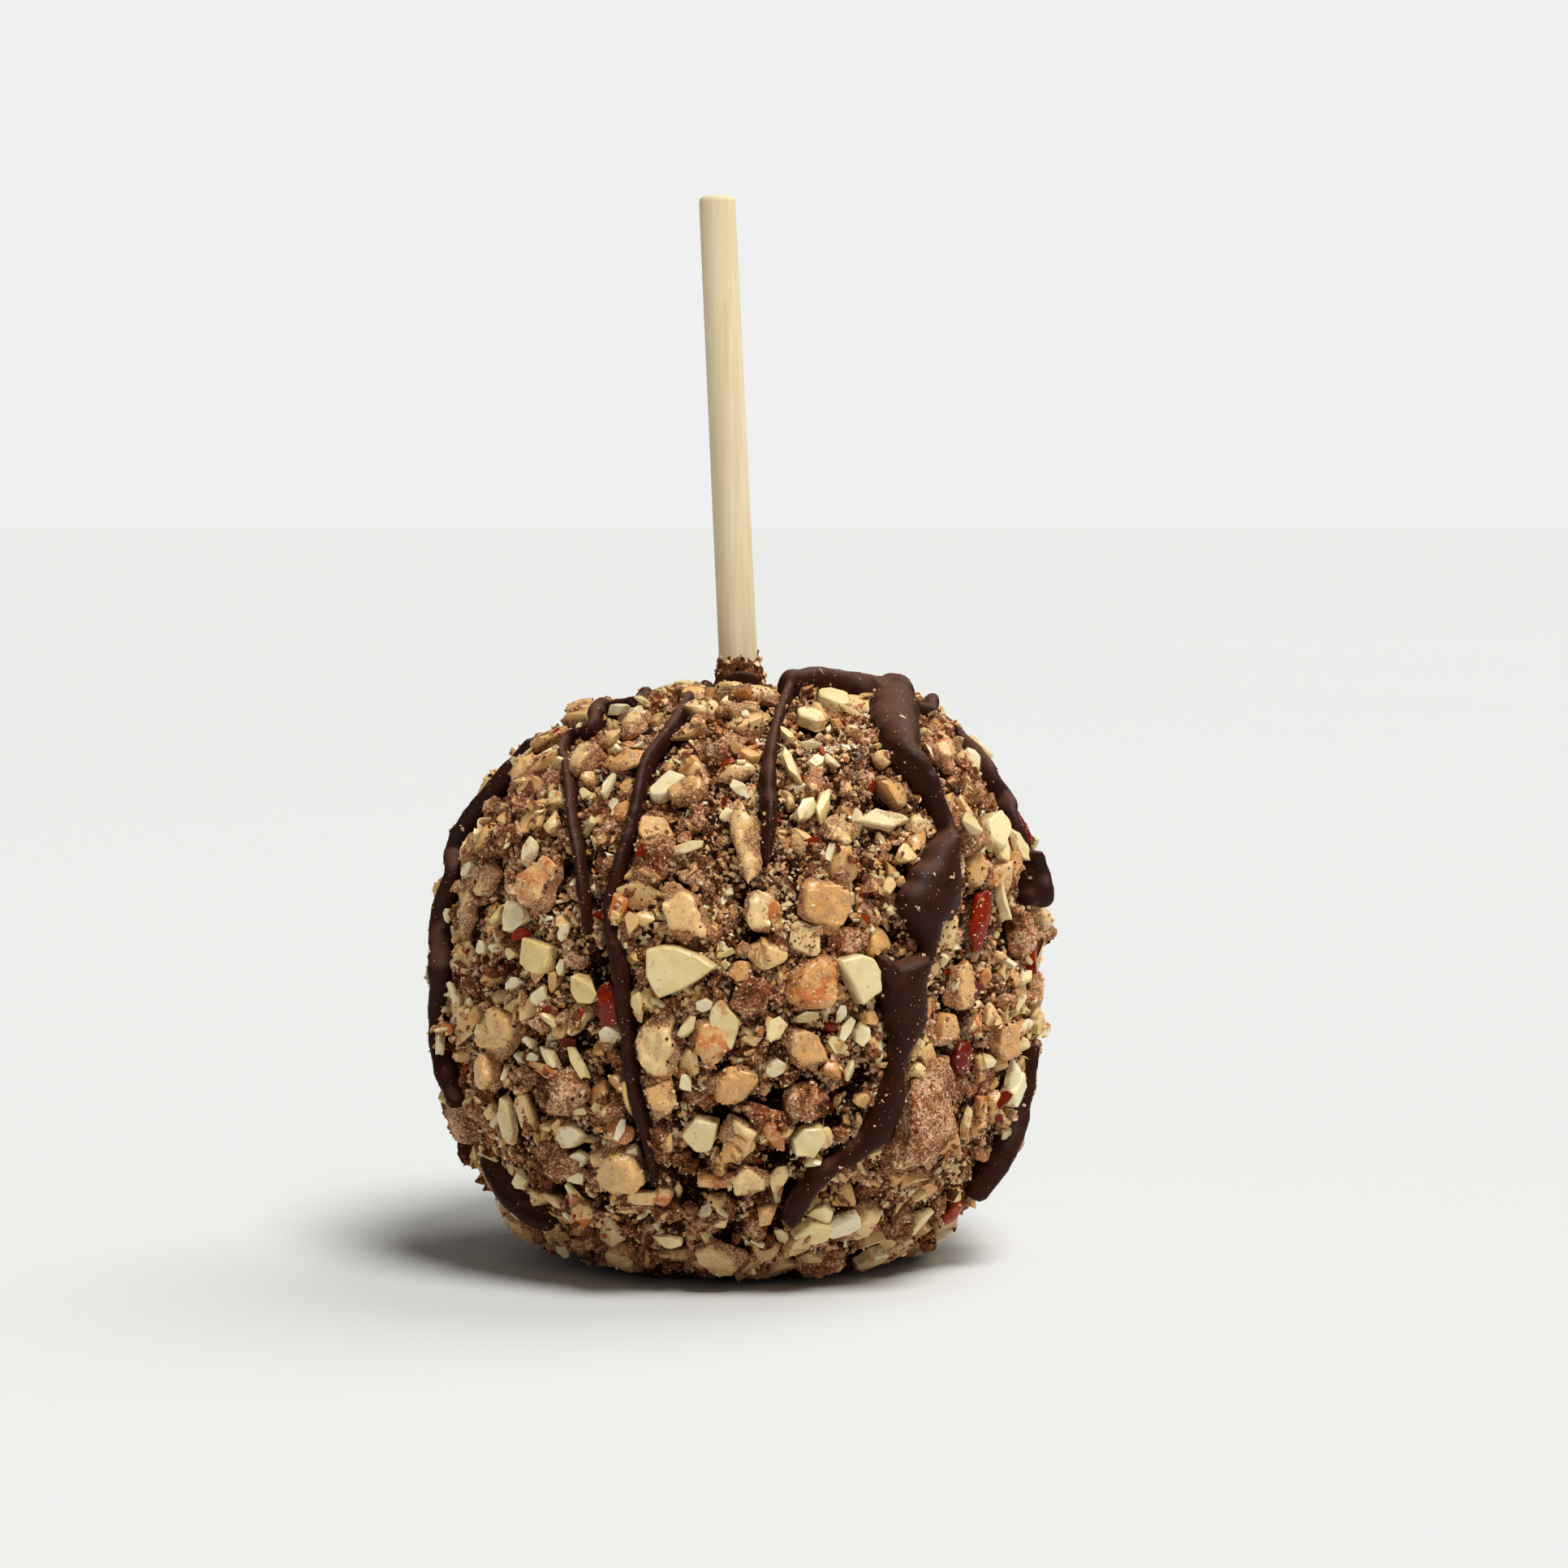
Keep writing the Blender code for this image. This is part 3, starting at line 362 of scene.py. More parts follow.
# Chunks that fill the coating side by side: kind, how many, shortest and longest.
CHUNKS = (
    (TOFFEE, 420, 2.2, 7.0),
    (COCOA, 430, 2.4, 6.8),
)
CHUNK_SPACING, CHUNK_TRIES = 0.36, 60
CHUNK_SEED, CHIP_SEED, CRUMB_SEED = 17, 23, 24
# Pieces that few crumbs stick to, how large crumbs are on them and on other pieces that
# aren't their own ground, and how often a place is sought for each crumb.
BARE_PIECES = ("drizzle", "almond")
STRAY_SIZE, SCATTER_TRIES_EACH = 0.62, 14

# What is scattered over them: name, kind, shape, the pieces it may lie on, how many,
# shortest and longest, and how it lies.
CHIP_GROUND = ("coating", "cocoa_chunks", "toffee_chunks")
TUMBLED = {"slim": 0.4, "clumping": 0.3, "tilt": 0.9}
CHIPS = (
    ("almond_chips", ALMOND, "sliver", CHIP_GROUND, 900, (1.0, 4.2),
     {"slim": 0.3, "sunk": 0.1, "cluster": ALMOND}),
    ("skin_flakes", SKIN, "sliver", CHIP_GROUND, 260, (1.0, 3.0),
     {"slim": 0.4, "flat": 0.5, "sunk": 0.05}),
    ("toffee_bits", TOFFEE, "bit", CHIP_GROUND, 2000, (0.9, 3.4), TUMBLED),
    ("cocoa_bits", COCOA, "bit", CHIP_GROUND, 2200, (0.9, 3.2), TUMBLED),
)
LOOSE = {"clumping": 0.45, "tilt": 1.6, "flat": 1.0, "slim": 0.7}
CRUMBS = (
    ("cocoa_grit", GRIT, "crumb", ("coating", "cuff"), 24000, (0.28, 1.1),
     {"flanks": 1.2, **LOOSE}),
    ("toffee_grit", TOFFEE, "crumb", ("coating", "cuff"), 10000, (0.28, 1.0),
     {"stray": 0.1, "flanks": 0.9, **LOOSE}),
    ("almond_grit", ALMOND, "crumb", ("coating",), 4200, (0.4, 1.8),
     {"slim": 0.35, "stray": 0.02, "cluster": ALMOND}),
    ("pale_dust", DUST, "crumb", None, 18000, (0.16, 0.46),
     {"sunk": 0.1, "tilt": 2.0, "flat": 1.0}),
)

# How large an almond slice is at its top, and the seeds of what is placed one by one.
SLICE_TAPER = 0.93
SLICE_SEED, FRONT_CHIP_SEED, GRANULE_SEED = 9, 31, 3
# Strands of drizzle are smoothed more from this width on, and fully when this much wider.
THICK_STRAND, THICKER_BY = 3.4, 3.0
# The strand across the front of the cuff: points, first angle and step in degrees,
# height and distance from the stick.
CUFF_STRAND_POINTS, CUFF_STRAND_START, CUFF_STRAND_STEP = 12, -124, 7
CUFF_STRAND_HEIGHT, CUFF_STRAND_REACH = 83.5, 3.7

# The floor's radius, how far its rim is drawn in, and how high the camera aims, in metres.
FLOOR_RADIUS, FLOOR_RIM, AIM_HEIGHT = 8.0, 6.0, 0.069
# Lights: share of the key light, angle in degrees, and where it comes from.
LIGHTS = (
    ("key light", 1.0, 24, (0.46, -0.62, 1.5)),
    ("back light", 0.42, 40, (0.7, 0.5, 1.2)),
)


def srgb(red, green, blue):
    """A linear colour from its 8-bit screen values."""
    shares = []
    for value in (red, green, blue):
        share = value / 255
        if share <= 0.04045:
            shares.append(share / 12.92)
        else:
            shares.append(((share + 0.055) / 1.055) ** 2.4)
    return tuple(shares)


# Shades that belong to one material each.
DUSTY_CRUMB, RUSTY = srgb(248, 213, 174), srgb(214, 132, 80)
# The clear amber is partly the toffee's own clearer edge, partly painted shade on its sides.
# The toffee foot colour is painted shade low on the apple, near the floor.
AMBER_AND_SIDE_SHADE, PAINTED_FOOT_SHADE = srgb(196, 116, 52), srgb(118, 64, 30)
# The chocolate's sheen colour is a painted highlight on its upward faces.
# The sugar colour is partly pale sugar, partly painted glints.
SUGAR_AND_GLINT, PAINTED_HIGHLIGHT = srgb(250, 224, 180), srgb(150, 104, 80)
DEEP_DUST, PALE_DUST = srgb(196, 150, 110), srgb(238, 210, 176)
# The almond rim colour is partly the almond's yellower edge, partly painted shade.
ALMOND_RIM_AND_SHADE, PALEST_ALMOND = srgb(212, 180, 108), srgb(238, 227, 194)
# The pale skin colour is a painted highlight on the ridges of its wrinkles.
SKIN_RIDGE_HIGHLIGHT, SKIN_DUST = srgb(174, 74, 22), srgb(190, 150, 112)
PALEST_WOOD, SURROUNDINGS = srgb(247, 232, 200), srgb(240, 240, 240)


def colour_property(name, description, red, green, blue):
    """A colour setting, given by its 8-bit screen values."""
    ways = {"subtype": "COLOR", "size": 3, "min": 0.0, "max": 1.0}
    colour = srgb(red, green, blue)
    return bpy.props.FloatVectorProperty(
        name=name, description=description, default=colour, **ways
    )


def number_property(name, description, default, least=0.0, **ways):
    """A number setting that is never below its least value."""
    return bpy.props.FloatProperty(
        name=name, description=description, default=default, min=least, **ways
    )


def length_property(name, description, size, least=0.2):
    """A length setting in millimetres."""
    return number_property(name, description, size * MM, least * MM, unit="LENGTH")


class CoatingSettings(bpy.types.PropertyGroup):
    """The crumb that covers the apple."""

    # The gap colour is dark caramel that also serves as painted shade in the seams and hollows.
    gap: colour_property("Gaps", "Dark caramel between the crumbs", 32, 9, 2)
    dark: colour_property("Dark crumb", "Darkest cocoa crumb", 64, 28, 10)
    middle: colour_property("Crumb", "Most of the cocoa crumb", 158, 98, 58)
    light: colour_property("Light crumb", "Pale dusted crumb", 216, 163, 121)
    voxel: length_property("Lump detail", "Edge length that the cocoa lumps are remeshed to", 0.42)


class ToffeeSettings(bpy.types.PropertyGroup):
    """Tan toffee lumps and crumbs."""

    amber: colour_property("Amber toffee", "Darker, clearer toffee", 208, 146, 78)
    tan: colour_property("Toffee", "Plain toffee", 232, 180, 110)
    pale: colour_property("Pale toffee", "Sugar-dusted toffee", 243, 208, 146)
    toasted: colour_property("Toasted", "Orange-brown toasted ends", 202, 114, 50)
    voxel: length_property("Lump detail", "Edge length that the lumps are remeshed to", 0.33)


class AlmondSettings(bpy.types.PropertyGroup):
    """Chopped almonds and their skins."""

    flesh: colour_property("Almond", "Cut almond", 242, 223, 172)
    deep: colour_property("Almond shade", "Yellower almond", 227, 196, 124)
    skin: colour_property("Skin", "Red-brown almond skin", 138, 30, 2)
    rounding: length_property(
        "Edge rounding", "Width of the rounding along the cut edges", 0.2, least=0.05
    )


class DrizzleSettings(bpy.types.PropertyGroup):
    """Dark chocolate drizzle."""

    chocolate: colour_property("Chocolate", "Dark chocolate", 48, 20, 9)
    dust: colour_property("Dust", "Pale specks that stick to it", 200, 160, 120)
    voxel: length_property("Detail", "Edge length that the strands are remeshed to", 0.40)


class StickSettings(bpy.types.PropertyGroup):
    """The wooden stick."""

    wood: colour_property("Wood", "Pale wood", 240, 221, 182)
    grain: colour_property("Grain", "Darker lines of the grain", 224, 199, 154)
    sides: bpy.props.IntProperty(
        name="Sides", description="Sides of the stick", default=72, min=16
    )


class StageSettings(bpy.types.PropertyGroup):
    """Floor, light and camera."""

    floor: colour_property("Floor", "Plain pale floor", 219, 220, 217)
    key_strength: number_property(
        "Key light", "Strength of the large soft light above, at the right", 2.95
    )
    world_strength: number_property(
        "Surroundings", "Strength of the even light from all round", 0.17
    )
    lens: number_property(
        "Lens", "Focal length of the camera", 102.6, 1.0, subtype="DISTANCE_CAMERA"
    )


class CaramelAppleSettings(bpy.types.PropertyGroup):
    """All the settings of the caramel apple."""

    coating: bpy.props.PointerProperty(type=CoatingSettings)
    toffee: bpy.props.PointerProperty(type=ToffeeSettings)
    almond: bpy.props.PointerProperty(type=AlmondSettings)
    drizzle: bpy.props.PointerProperty(type=DrizzleSettings)
    stick: bpy.props.PointerProperty(type=StickSettings)
    stage: bpy.props.PointerProperty(type=StageSettings)


# ---- The rules of the shape, as the solids have them ----


def body_share(place):
    """1 on the smooth turned shape, less inside it and more outside."""
    across = math.hypot(place.x, place.y) / BODY_RADIUS
    up = place.z - BODY_MIDDLE
    height = CROWN_HEIGHT if up > 0 else FOOT_DEPTH
    return across**BODY_POWER + abs(up / height) ** BODY_POWER


def relief(outward, place):
    """How far the coating stands above the smooth shape, its lumps and dip together."""
    lumps = LUMP_HEIGHT * noise.noise(outward * LUMP_COUNT)
    knobs = KNOB_HEIGHT * noise.noise(outward * KNOB_COUNT)
    from_axis = math.hypot(place.x, place.y) / CROWN_DIP_RADIUS
    dip = CROWN_DIP * math.exp(-from_axis * from_axis) if outward.z > 0 else 0.0
    skew = SHOULDER_SKEW * outward.x * max(outward.z, 0.0)
    return lumps + knobs + skew - dip


def any_direction(draw):
    """A direction by chance."""
    return Vector([draw.gauss(0, 1) for _ in range(3)]).normalized()


def any_shift(draw, most):
    """A shift by chance, at most this far each way."""
    return Vector([draw.uniform(-most, most) for _ in range(3)])


def coating_point(outward):
    """The place on the coating in this direction from the middle of the apple."""
    place = MIDDLE + outward * body_share(MIDDLE + outward) ** (-1 / BODY_POWER)
    return place + outward * relief(outward, place)


def on_coating(place):
    """The place on the coating in line with this one, from the middle of the apple."""
    return coating_point((place - MIDDLE).normalized())


def coating_normal(place):
    """Which way the smooth shape faces at this place."""
    nudges = (Vector((NUDGE, 0, 0)), Vector((0, NUDGE, 0)), Vector((0, 0, NUDGE)))
    slopes = [body_share(place + nudge) - body_share(place - nudge) for nudge in nudges]
    return Vector(slopes).normalized()


def depth_under_coating(place):
    """How far a place lies inside the coating, below zero outside it."""
    offset = place - MIDDLE
    if offset.length < 1.0:
        return BODY_RADIUS
    surface = coating_point(offset.normalized()) - MIDDLE
    return surface.length - offset.length


def first_hit(start, direction, reach):
    """Where a line first meets the coating, or its nearest place to the coating."""
    nearest, least = start, math.inf
    for step in range(HIT_STEPS + 1):
        place = start + direction * (reach * step / HIT_STEPS)
        depth = depth_under_coating(place)
        if depth > 0:
            return on_coating(place)
        if -depth < least:
            nearest, least = place, -depth
    return on_coating(nearest)


def seen_from_front(right, up):
    """The place on the coating that the eye sees at this spot of the upright plane.

    A spot on the very edge is drawn in until the line of sight passes under the coating.
    """
    spot = Vector((right, 0, up))
    for share in range(100, 80, -1):
        target = MIDDLE + (spot - MIDDLE) * (share / 100)
        direction = (target - EYE).normalized()
        depths = [depth_under_coating(target + direction * step) for step in range(-20, 21, 4)]
        if max(depths) > EDGE_DEPTH:
            return first_hit(target - direction * 60, direction, 75)
    raise ValueError(f"no coating at {right}, {up}")


def all_seen(rows):
    """(place, value) of rows that give right, up and a value on the front."""
    return [(seen_from_front(right, up), value) for right, up, value in rows]


def in_slice(right, angle):
    """The place on the coating at this distance right, angle degrees back from the top."""
    turn = math.radians(angle)
    outward = Vector((0, math.sin(turn), math.cos(turn)))
    return first_hit(Vector((right, 0, BODY_MIDDLE)) + outward * 70, -outward, 70)


def smooth_route(points, step):
    """(place, width) along a soft curve through the points, about one step apart."""
    route = []
    last = len(points) - 1
    for index in range(last):
        before = points[max(index - 1, 0)]
        start, end = points[index], points[index + 1]
        after = points[min(index + 2, last)]
        count = max(1, round((end[0] - start[0]).length / step))
        for part in range(count):
            share = part / count
            place = catmull_rom(before[0], start[0], end[0], after[0], share)
            route.append((place, start[1] + (end[1] - start[1]) * share))
    route.append(points[last])
    return route


def catmull_rom(before, start, end, after, share):
    """A place between start and end on the curve that also bends by its neighbours."""
    bend = 2 * start + (end - before) * share
    bend += (2 * before - 5 * start + 4 * end - after) * share**2
    bend += (3 * start - before - 3 * end + after) * share**3
    return bend / 2


def strand_turns():
    """The turns of every strand of drizzle, as (place on the coating, width) pairs."""
    routes = [all_seen(strand) for strand in FRONT_STRANDS]
    for number, (front, end_right, first, last, width) in enumerate(BACK_STRANDS):
        turns = [routes[front][0]]
        start_right = turns[0][0].x
        count = round((last - first) / BACK_STRAND_STEP)
        for index in range(count + 1):
            share = index / count
            right = start_right + (end_right - start_right) * share
            right += BACK_STRAND_SWING * share * math.sin(2.3 * index + number)
            thin = 1 - 0.35 * share + 0.18 * math.sin(1.7 * index + 2 * number)
            angle = first + (last - first) * share
            turns.append((in_slice(right, angle), width * thin))
        routes.append(turns)
    return routes


def route_at(turns, step):
    """A strand's turns as a soft route on the coating with about this step."""
    return [(on_coating(place), width) for place, width in smooth_route(turns, step)]


def is_clear(place, length, taken, strands):
    """Whether a new piece keeps off the pieces already set and off the drizzle."""
    for other, other_length in taken:
        if (place - other).length < SCATTER_SPACING * (length + other_length):
            return False
    for strand in strands:
        for spot, width in strand:
            if (place - spot).length < length / 2 + width / 2 + STRAND_PIECE_GAP:
                return False
    return True


def scattered_places(strands):
    """(kind, place, length) of the pieces that aren't listed one by one, largest first."""
    draw = random.Random(SCATTER_SEED)
    taken = all_seen(piece[1:4] for piece in FRONT_PIECES)
    sizes = []
    for kind, count, shortest, longest in SCATTER:
        sizes += [(draw.uniform(shortest, longest), kind) for _ in range(count)]
    sizes.sort(reverse=True)
    found = []
    for length, kind in sizes:
        for _ in range(SCATTER_TRIES):
            outward = any_direction(draw)
            place = coating_point(outward)
            near_cuff = math.hypot(place.x, place.y) < SCATTER_CUFF_CLEARANCE
            if place.z < SCATTER_LOWEST or (near_cuff and outward.z > 0):
                continue
            if is_clear(place, length, taken, strands):
                taken.append((place, length))
                found.append((kind, place, length))
                break
    return found


def piece_axes(place, turn):
    """Along, across and outward at a place on the coating, turned this far from level."""
    normal = coating_normal(place)
    level = Vector((0, 0, 1)).cross(normal).normalized()
    rise = normal.cross(level)
    along = level * math.cos(math.radians(turn)) + rise * math.sin(math.radians(turn))
    return along, normal.cross(along), normal


def piece_plan(strands):
    """Every large piece as (kind, seat, axes, size, corner shifts), as its solid has it."""
    draw = random.Random(SCATTER_SEED + 1)
    wanted = [(piece[0], seen_from_front(*piece[1:3]), *piece[3:]) for piece in FRONT_PIECES]
    wanted += [(*piece, None, None) for piece in scattered_places(strands)]
    plan = []
    for kind, place, length, width, turn in wanted:
        if width is None:
            width = length * draw.uniform(0.55, 0.85)
            turn = draw.uniform(0, 180)
        corners = 8 if kind in FIRM_EDGED else 12
        shifts = [any_shift(draw, ROUGHNESS[kind]) for _ in range(corners)]
        axes = piece_axes(place, turn)
        thickness = width * THICKNESS[kind]
        seat = place + axes[2] * thickness * (PROUD[kind] - 0.5)
        plan.append((kind, seat, axes, (length, width, thickness), shifts))
    return plan


def stick_frame():
    """The stick's own frame: its middle, leaning with the stick."""
    half = STICK_LENGTH / 2
    lean = Matrix.Rotation(STICK_LEAN, 4, "Y")
    top = Vector((STICK_TOP_SHIFT, 0, STICK_TOP_HEIGHT))
    middle = top - lean @ Vector((0, 0, half))
    return Matrix.Translation(middle * MM) @ lean


# ---- Modelling helpers ----


def settings():
    return bpy.context.scene.caramel_apple


def deselect_all():
    bpy.ops.object.select_all(action="DESELECT")


def activate(target):
    """Makes this the only selected object."""
    deselect_all()
    target.select_set(True)
    bpy.context.view_layer.objects.active = target


def apply_modifier(target, kind, **values):
    """Adds a modifier with these values and applies it."""
    activate(target)
    modifier = target.modifiers.new(kind.lower(), kind)
    for name, value in values.items():
        setattr(modifier, name, value)
    bpy.ops.object.modifier_apply(modifier=modifier.name)


def settle(target):
    """Moves the object's place and turn into its mesh."""
    activate(target)
    bpy.ops.object.transform_apply(location=True, rotation=True, scale=True)


def start_edit(target):
    """Opens the object in edit mode with all of it selected."""
    activate(target)
    bpy.ops.object.mode_set(mode="EDIT")
    bpy.ops.mesh.select_all(action="SELECT")


def end_edit():
    bpy.ops.object.mode_set(mode="OBJECT")


def cut_off(place, facing):
    """Cuts off what lies beyond a plane, in edit mode, and closes the cut."""
    bpy.ops.mesh.select_all(action="SELECT")
    bpy.ops.mesh.bisect(plane_co=place, plane_no=facing, use_fill=True, clear_outer=True)


def remesh(target, size, smoothing=0):
    """Grows what overlaps into one skin with edges of this size."""
    apply_modifier(target, "REMESH", mode="VOXEL", voxel_size=size)
    if smoothing:
        apply_modifier(target, "SMOOTH", factor=0.5, iterations=smoothing)


def round_by_angle(target, degrees):
    """Smooth shading up to this angle, creases beyond it."""
    activate(target)
    bpy.ops.object.shade_smooth_by_angle(angle=math.radians(degrees))


def new_object(name, data):
    """A new object in the scene for this mesh, curve, light or camera."""
    made = bpy.data.objects.new(name, data)
    bpy.context.scene.collection.objects.link(made)
    return made


def join(pieces, name):
    """Joins the pieces into one object of this name."""
    deselect_all()
    for piece in pieces:
        piece.select_set(True)
    bpy.context.view_layer.objects.active = pieces[0]
    bpy.ops.object.join()
    joined = bpy.context.view_layer.objects.active
    joined.name = name
    joined.data.name = name
    return joined


def roughen(target, name, strength, size, direction="NORMAL"):
    """Pushes the surface in and out, or about, by clouds of this grain size."""
    texture = bpy.data.textures.new(name, "CLOUDS")
    texture.noise_scale = size
    texture.cloud_type = "COLOR" if direction == "RGB_TO_XYZ" else "GRAYSCALE"
    ways = {"mid_level": 0.5, "direction": direction, "texture_coords": "LOCAL"}
    apply_modifier(target, "DISPLACE", texture=texture, strength=strength, **ways)


def coordinates(mesh):
    """The mesh's points as an array of rows."""
    points = np.empty(len(mesh.vertices) * 3, np.float32)
    mesh.vertices.foreach_get("co", points)
    return points.reshape(-1, 3)


def add_value(mesh, name, values):
    """Stores one number for each point of the mesh."""
    layer = mesh.attributes.new(name, "FLOAT", "POINT")
    layer.data.foreach_set("value", np.asarray(values, np.float32))


def rest_on_floor(target):
    """Flattens what reaches below the foot."""
    points = coordinates(target.data)
    points[:, 2] = np.maximum(points[:, 2], 0.0)
    target.data.vertices.foreach_set("co", points.ravel())
    target.data.update()


def tree_among(places):
    """A search tree for the nearest of these places."""
    tree = KDTree(len(places))
    for index, place in enumerate(places):
        tree.insert(place, index)
    tree.balance()
    return tree


def tint_by_piece(target, seats, name="tint", values=None):
    """Gives every point the number of the piece whose seat is nearest to it."""
    draw = random.Random(len(seats))
    numbers = values or [draw.random() for _ in seats]
    tree = tree_among([seat * MM for seat in seats])
    points = coordinates(target.data)
    add_value(target.data, name, [numbers[tree.find(point)[1]] for point in points])


def mark_pieces(target, seats, seed, toasted, low, high):
    """Gives every piece its tint, a share of them a toast, and every point its height.

    The height is 0 at the low height over the coating and 1 at the high.
    """
    tint_by_piece(target, seats)
    draw = random.Random(seed)
    toasts = [float(draw.random() < toasted) for _ in seats]
    tint_by_piece(target, seats, "toast", toasts)
    heights = [-depth_under_coating(vertex.co / MM) for vertex in target.data.vertices]
    add_value(target.data, "top", [clamp((height - low) / (high - low)) for height in heights])


def finish_piece(target, material, smooth=True):
    """Gives a finished piece its material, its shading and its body."""
    target.data.materials.clear()
    target.data.materials.append(material)
    if smooth:
        target.data.shade_smooth()
    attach(target, BODY)


def clamp(share):
    """The share, held between 0 and 1."""
    return min(1.0, max(0.0, share))


def ease(share):
    """A share from 0 to 1 with a soft start and end."""
    return share * share * (3 - 2 * share)


# ---- Shader helpers ----


def plug(tree, socket, value):
    """Links the socket to another, or sets it to a number, a colour or a vector."""
    if isinstance(value, bpy.types.NodeSocket):
        tree.links.new(value, socket)
    elif socket.type == "RGBA":
        socket.default_value = (*value[:3], 1.0)
    else:
        socket.default_value = value


def add_node(tree, kind, inputs=None, **values):
    """A new shader node with its values set and its inputs set or linked."""
    made = tree.nodes.new(kind)
    for name, value in values.items():
        setattr(made, name, value)
    for name, value in (inputs or {}).items():
        plug(tree, made.inputs[name], value)
    return made


def mix_colours(tree, factor, first, second, blend="MIX"):
    """A colour between two colours."""
    inputs = {0: factor, 6: first, 7: second}
    mix = add_node(tree, "ShaderNodeMix", data_type="RGBA", blend_type=blend)
    for number, value in inputs.items():
        plug(tree, mix.inputs[number], value)
    return mix.outputs[2]


def calculate(tree, operation, first, second=0.0):
    """One sum of two values."""
    inputs = {0: first, 1: second}
    return add_node(tree, "ShaderNodeMath", inputs, operation=operation).outputs[0]


def times(tree, first, second):
    """One value times another."""
    return calculate(tree, "MULTIPLY", first, second)


def weigh(tree, *parts):
    """The sum of (value, weight) pairs; a weight alone has None for its value."""
    total = None
    for value, weight in parts:
        part = weight if value is None else times(tree, value, weight)
        total = part if total is None else calculate(tree, "ADD", total, part)
    return total


def between(first, second, share):
    """The colour at this share of the way from the first to the second."""
    return tuple(a + (b - a) * share for a, b in zip(first, second))


def shaded(colour, share):
    """The colour made darker or lighter by this share."""
    return tuple(share * value for value in colour)


def steps(tree, factor, *stops):
    """A colour ramp through (position, colour) stops."""
    ramp = add_node(tree, "ShaderNodeValToRGB", {"Fac": factor})
    elements = ramp.color_ramp.elements
    while len(elements) < len(stops):
        elements.new(1.0)
    for element, (position, colour) in zip(elements, stops):
        element.position = position
        element.color = (*colour[:3], 1.0)
    return ramp.outputs["Color"]


def spread(tree, value, low, high, to_low=0.0, to_high=1.0):
    """The value stretched from one range to another and held within it."""
    inputs = {"Value": value, "From Min": low, "From Max": high}
    inputs |= {"To Min": to_low, "To Max": to_high}
    return add_node(tree, "ShaderNodeMapRange", inputs).outputs["Result"]


def stored(tree, name):
    """A number stored on the mesh."""
    return add_node(tree, "ShaderNodeAttribute", attribute_name=name).outputs["Fac"]


def height_of(tree, vector):
    """The upward part of a place or a normal."""
    return add_node(tree, "ShaderNodeSeparateXYZ", {"Vector": vector}).outputs["Z"]


def new_group(name, sizes, outputs):
    """An empty shader group that takes a place and these numbers, with its two ends."""
    group = bpy.data.node_groups.new(name, "ShaderNodeTree")
    group.interface.new_socket("Place", in_out="INPUT", socket_type="NodeSocketVector")
    for socket, default in sizes.items():
        made = group.interface.new_socket(socket, in_out="INPUT", socket_type="NodeSocketFloat")
        made.default_value = default
    for socket in outputs:
        group.interface.new_socket(socket, in_out="OUTPUT", socket_type="NodeSocketFloat")
    source = group.nodes.new("NodeGroupInput")
    sink = group.nodes.new("NodeGroupOutput")
    return group, source.outputs, sink.inputs


def at_place(tree, name, build, place, **numbers):
    """Puts in a shader group at this place, built by its own function the first time."""
    group = bpy.data.node_groups.get(name) or build(name)
    made = add_node(tree, "ShaderNodeGroup", {"Place": place}, node_tree=group)
    for number, value in numbers.items():
        plug(tree, made.inputs[number.replace("_", " ")], value)
    return made.outputs


def grain_group(name):
    """Packed grains: a shade for each, a height that is round on each, and their seams."""
    group, source, sink = new_group(name, {"Grain size": 0.4 * MM}, ("Shade", "Height", "Seam"))
    clouds = {"Vector": source["Place"], "Scale": 2000.0, "Detail": 2.0}
    clouds = add_node(group, "ShaderNodeTexNoise", clouds).outputs["Color"]
    bend = {0: clouds, "Scale": times(group, source["Grain size"], 1.3)}
    bend = add_node(group, "ShaderNodeVectorMath", bend, operation="SCALE").outputs[0]
    bent = {0: source["Place"], 1: bend}
    bent = add_node(group, "ShaderNodeVectorMath", bent, operation="ADD").outputs[0]
    grid = {"Vector": bent, "Scale": calculate(group, "DIVIDE", 1.0, source["Grain size"])}
    cells = add_node(group, "ShaderNodeTexVoronoi", grid)
    edges = add_node(group, "ShaderNodeTexVoronoi", grid, feature="DISTANCE_TO_EDGE")
    chances = add_node(group, "ShaderNodeSeparateColor", {"Color": cells.outputs["Color"]}).outputs
    height = weigh(group, (cells.outputs["Distance"], -1.0), (chances[1], 0.5), (None, 1.0))
    plug(group, sink["Shade"], chances[0])
    plug(group, sink["Height"], height)
    plug(group, sink["Seam"], spread(group, edges.outputs["Distance"], 0.02, 0.16, 1.0, 0.0))
    return group


def speck_group(name):
    """Scattered specks of dust: a mask that is 1 on a speck, 0 between."""
    group, source, sink = new_group(name, {"Speck size": 0.4 * MM, "Amount": 0.5}, ("Mask",))
    count = calculate(group, "DIVIDE", 0.5, source["Speck size"])
    grid = {"Vector": source["Place"], "Scale": count}
    cells = add_node(group, "ShaderNodeTexVoronoi", grid).outputs
    chances = add_node(group, "ShaderNodeSeparateColor", {"Color": cells["Color"]}).outputs
    present = calculate(group, "LESS_THAN", chances[0], source["Amount"])
    radius = calculate(group, "ADD", times(group, chances[1], 0.3), 0.12)
    inside = calculate(group, "LESS_THAN", cells["Distance"], radius)
    plug(group, sink["Mask"], times(group, present, inside))
    return group


def grains_at(tree, place, size):
    """Packed grains of this size in millimetres."""
    return at_place(tree, "Packed grains", grain_group, place, Grain_size=size * MM)


def specks_at(tree, place, size, amount):
    """Specks of this size in millimetres, in this share of the cells."""
    ways = {"Speck_size": size * MM, "Amount": amount}
    return at_place(tree, "Dust specks", speck_group, place, **ways)["Mask"]


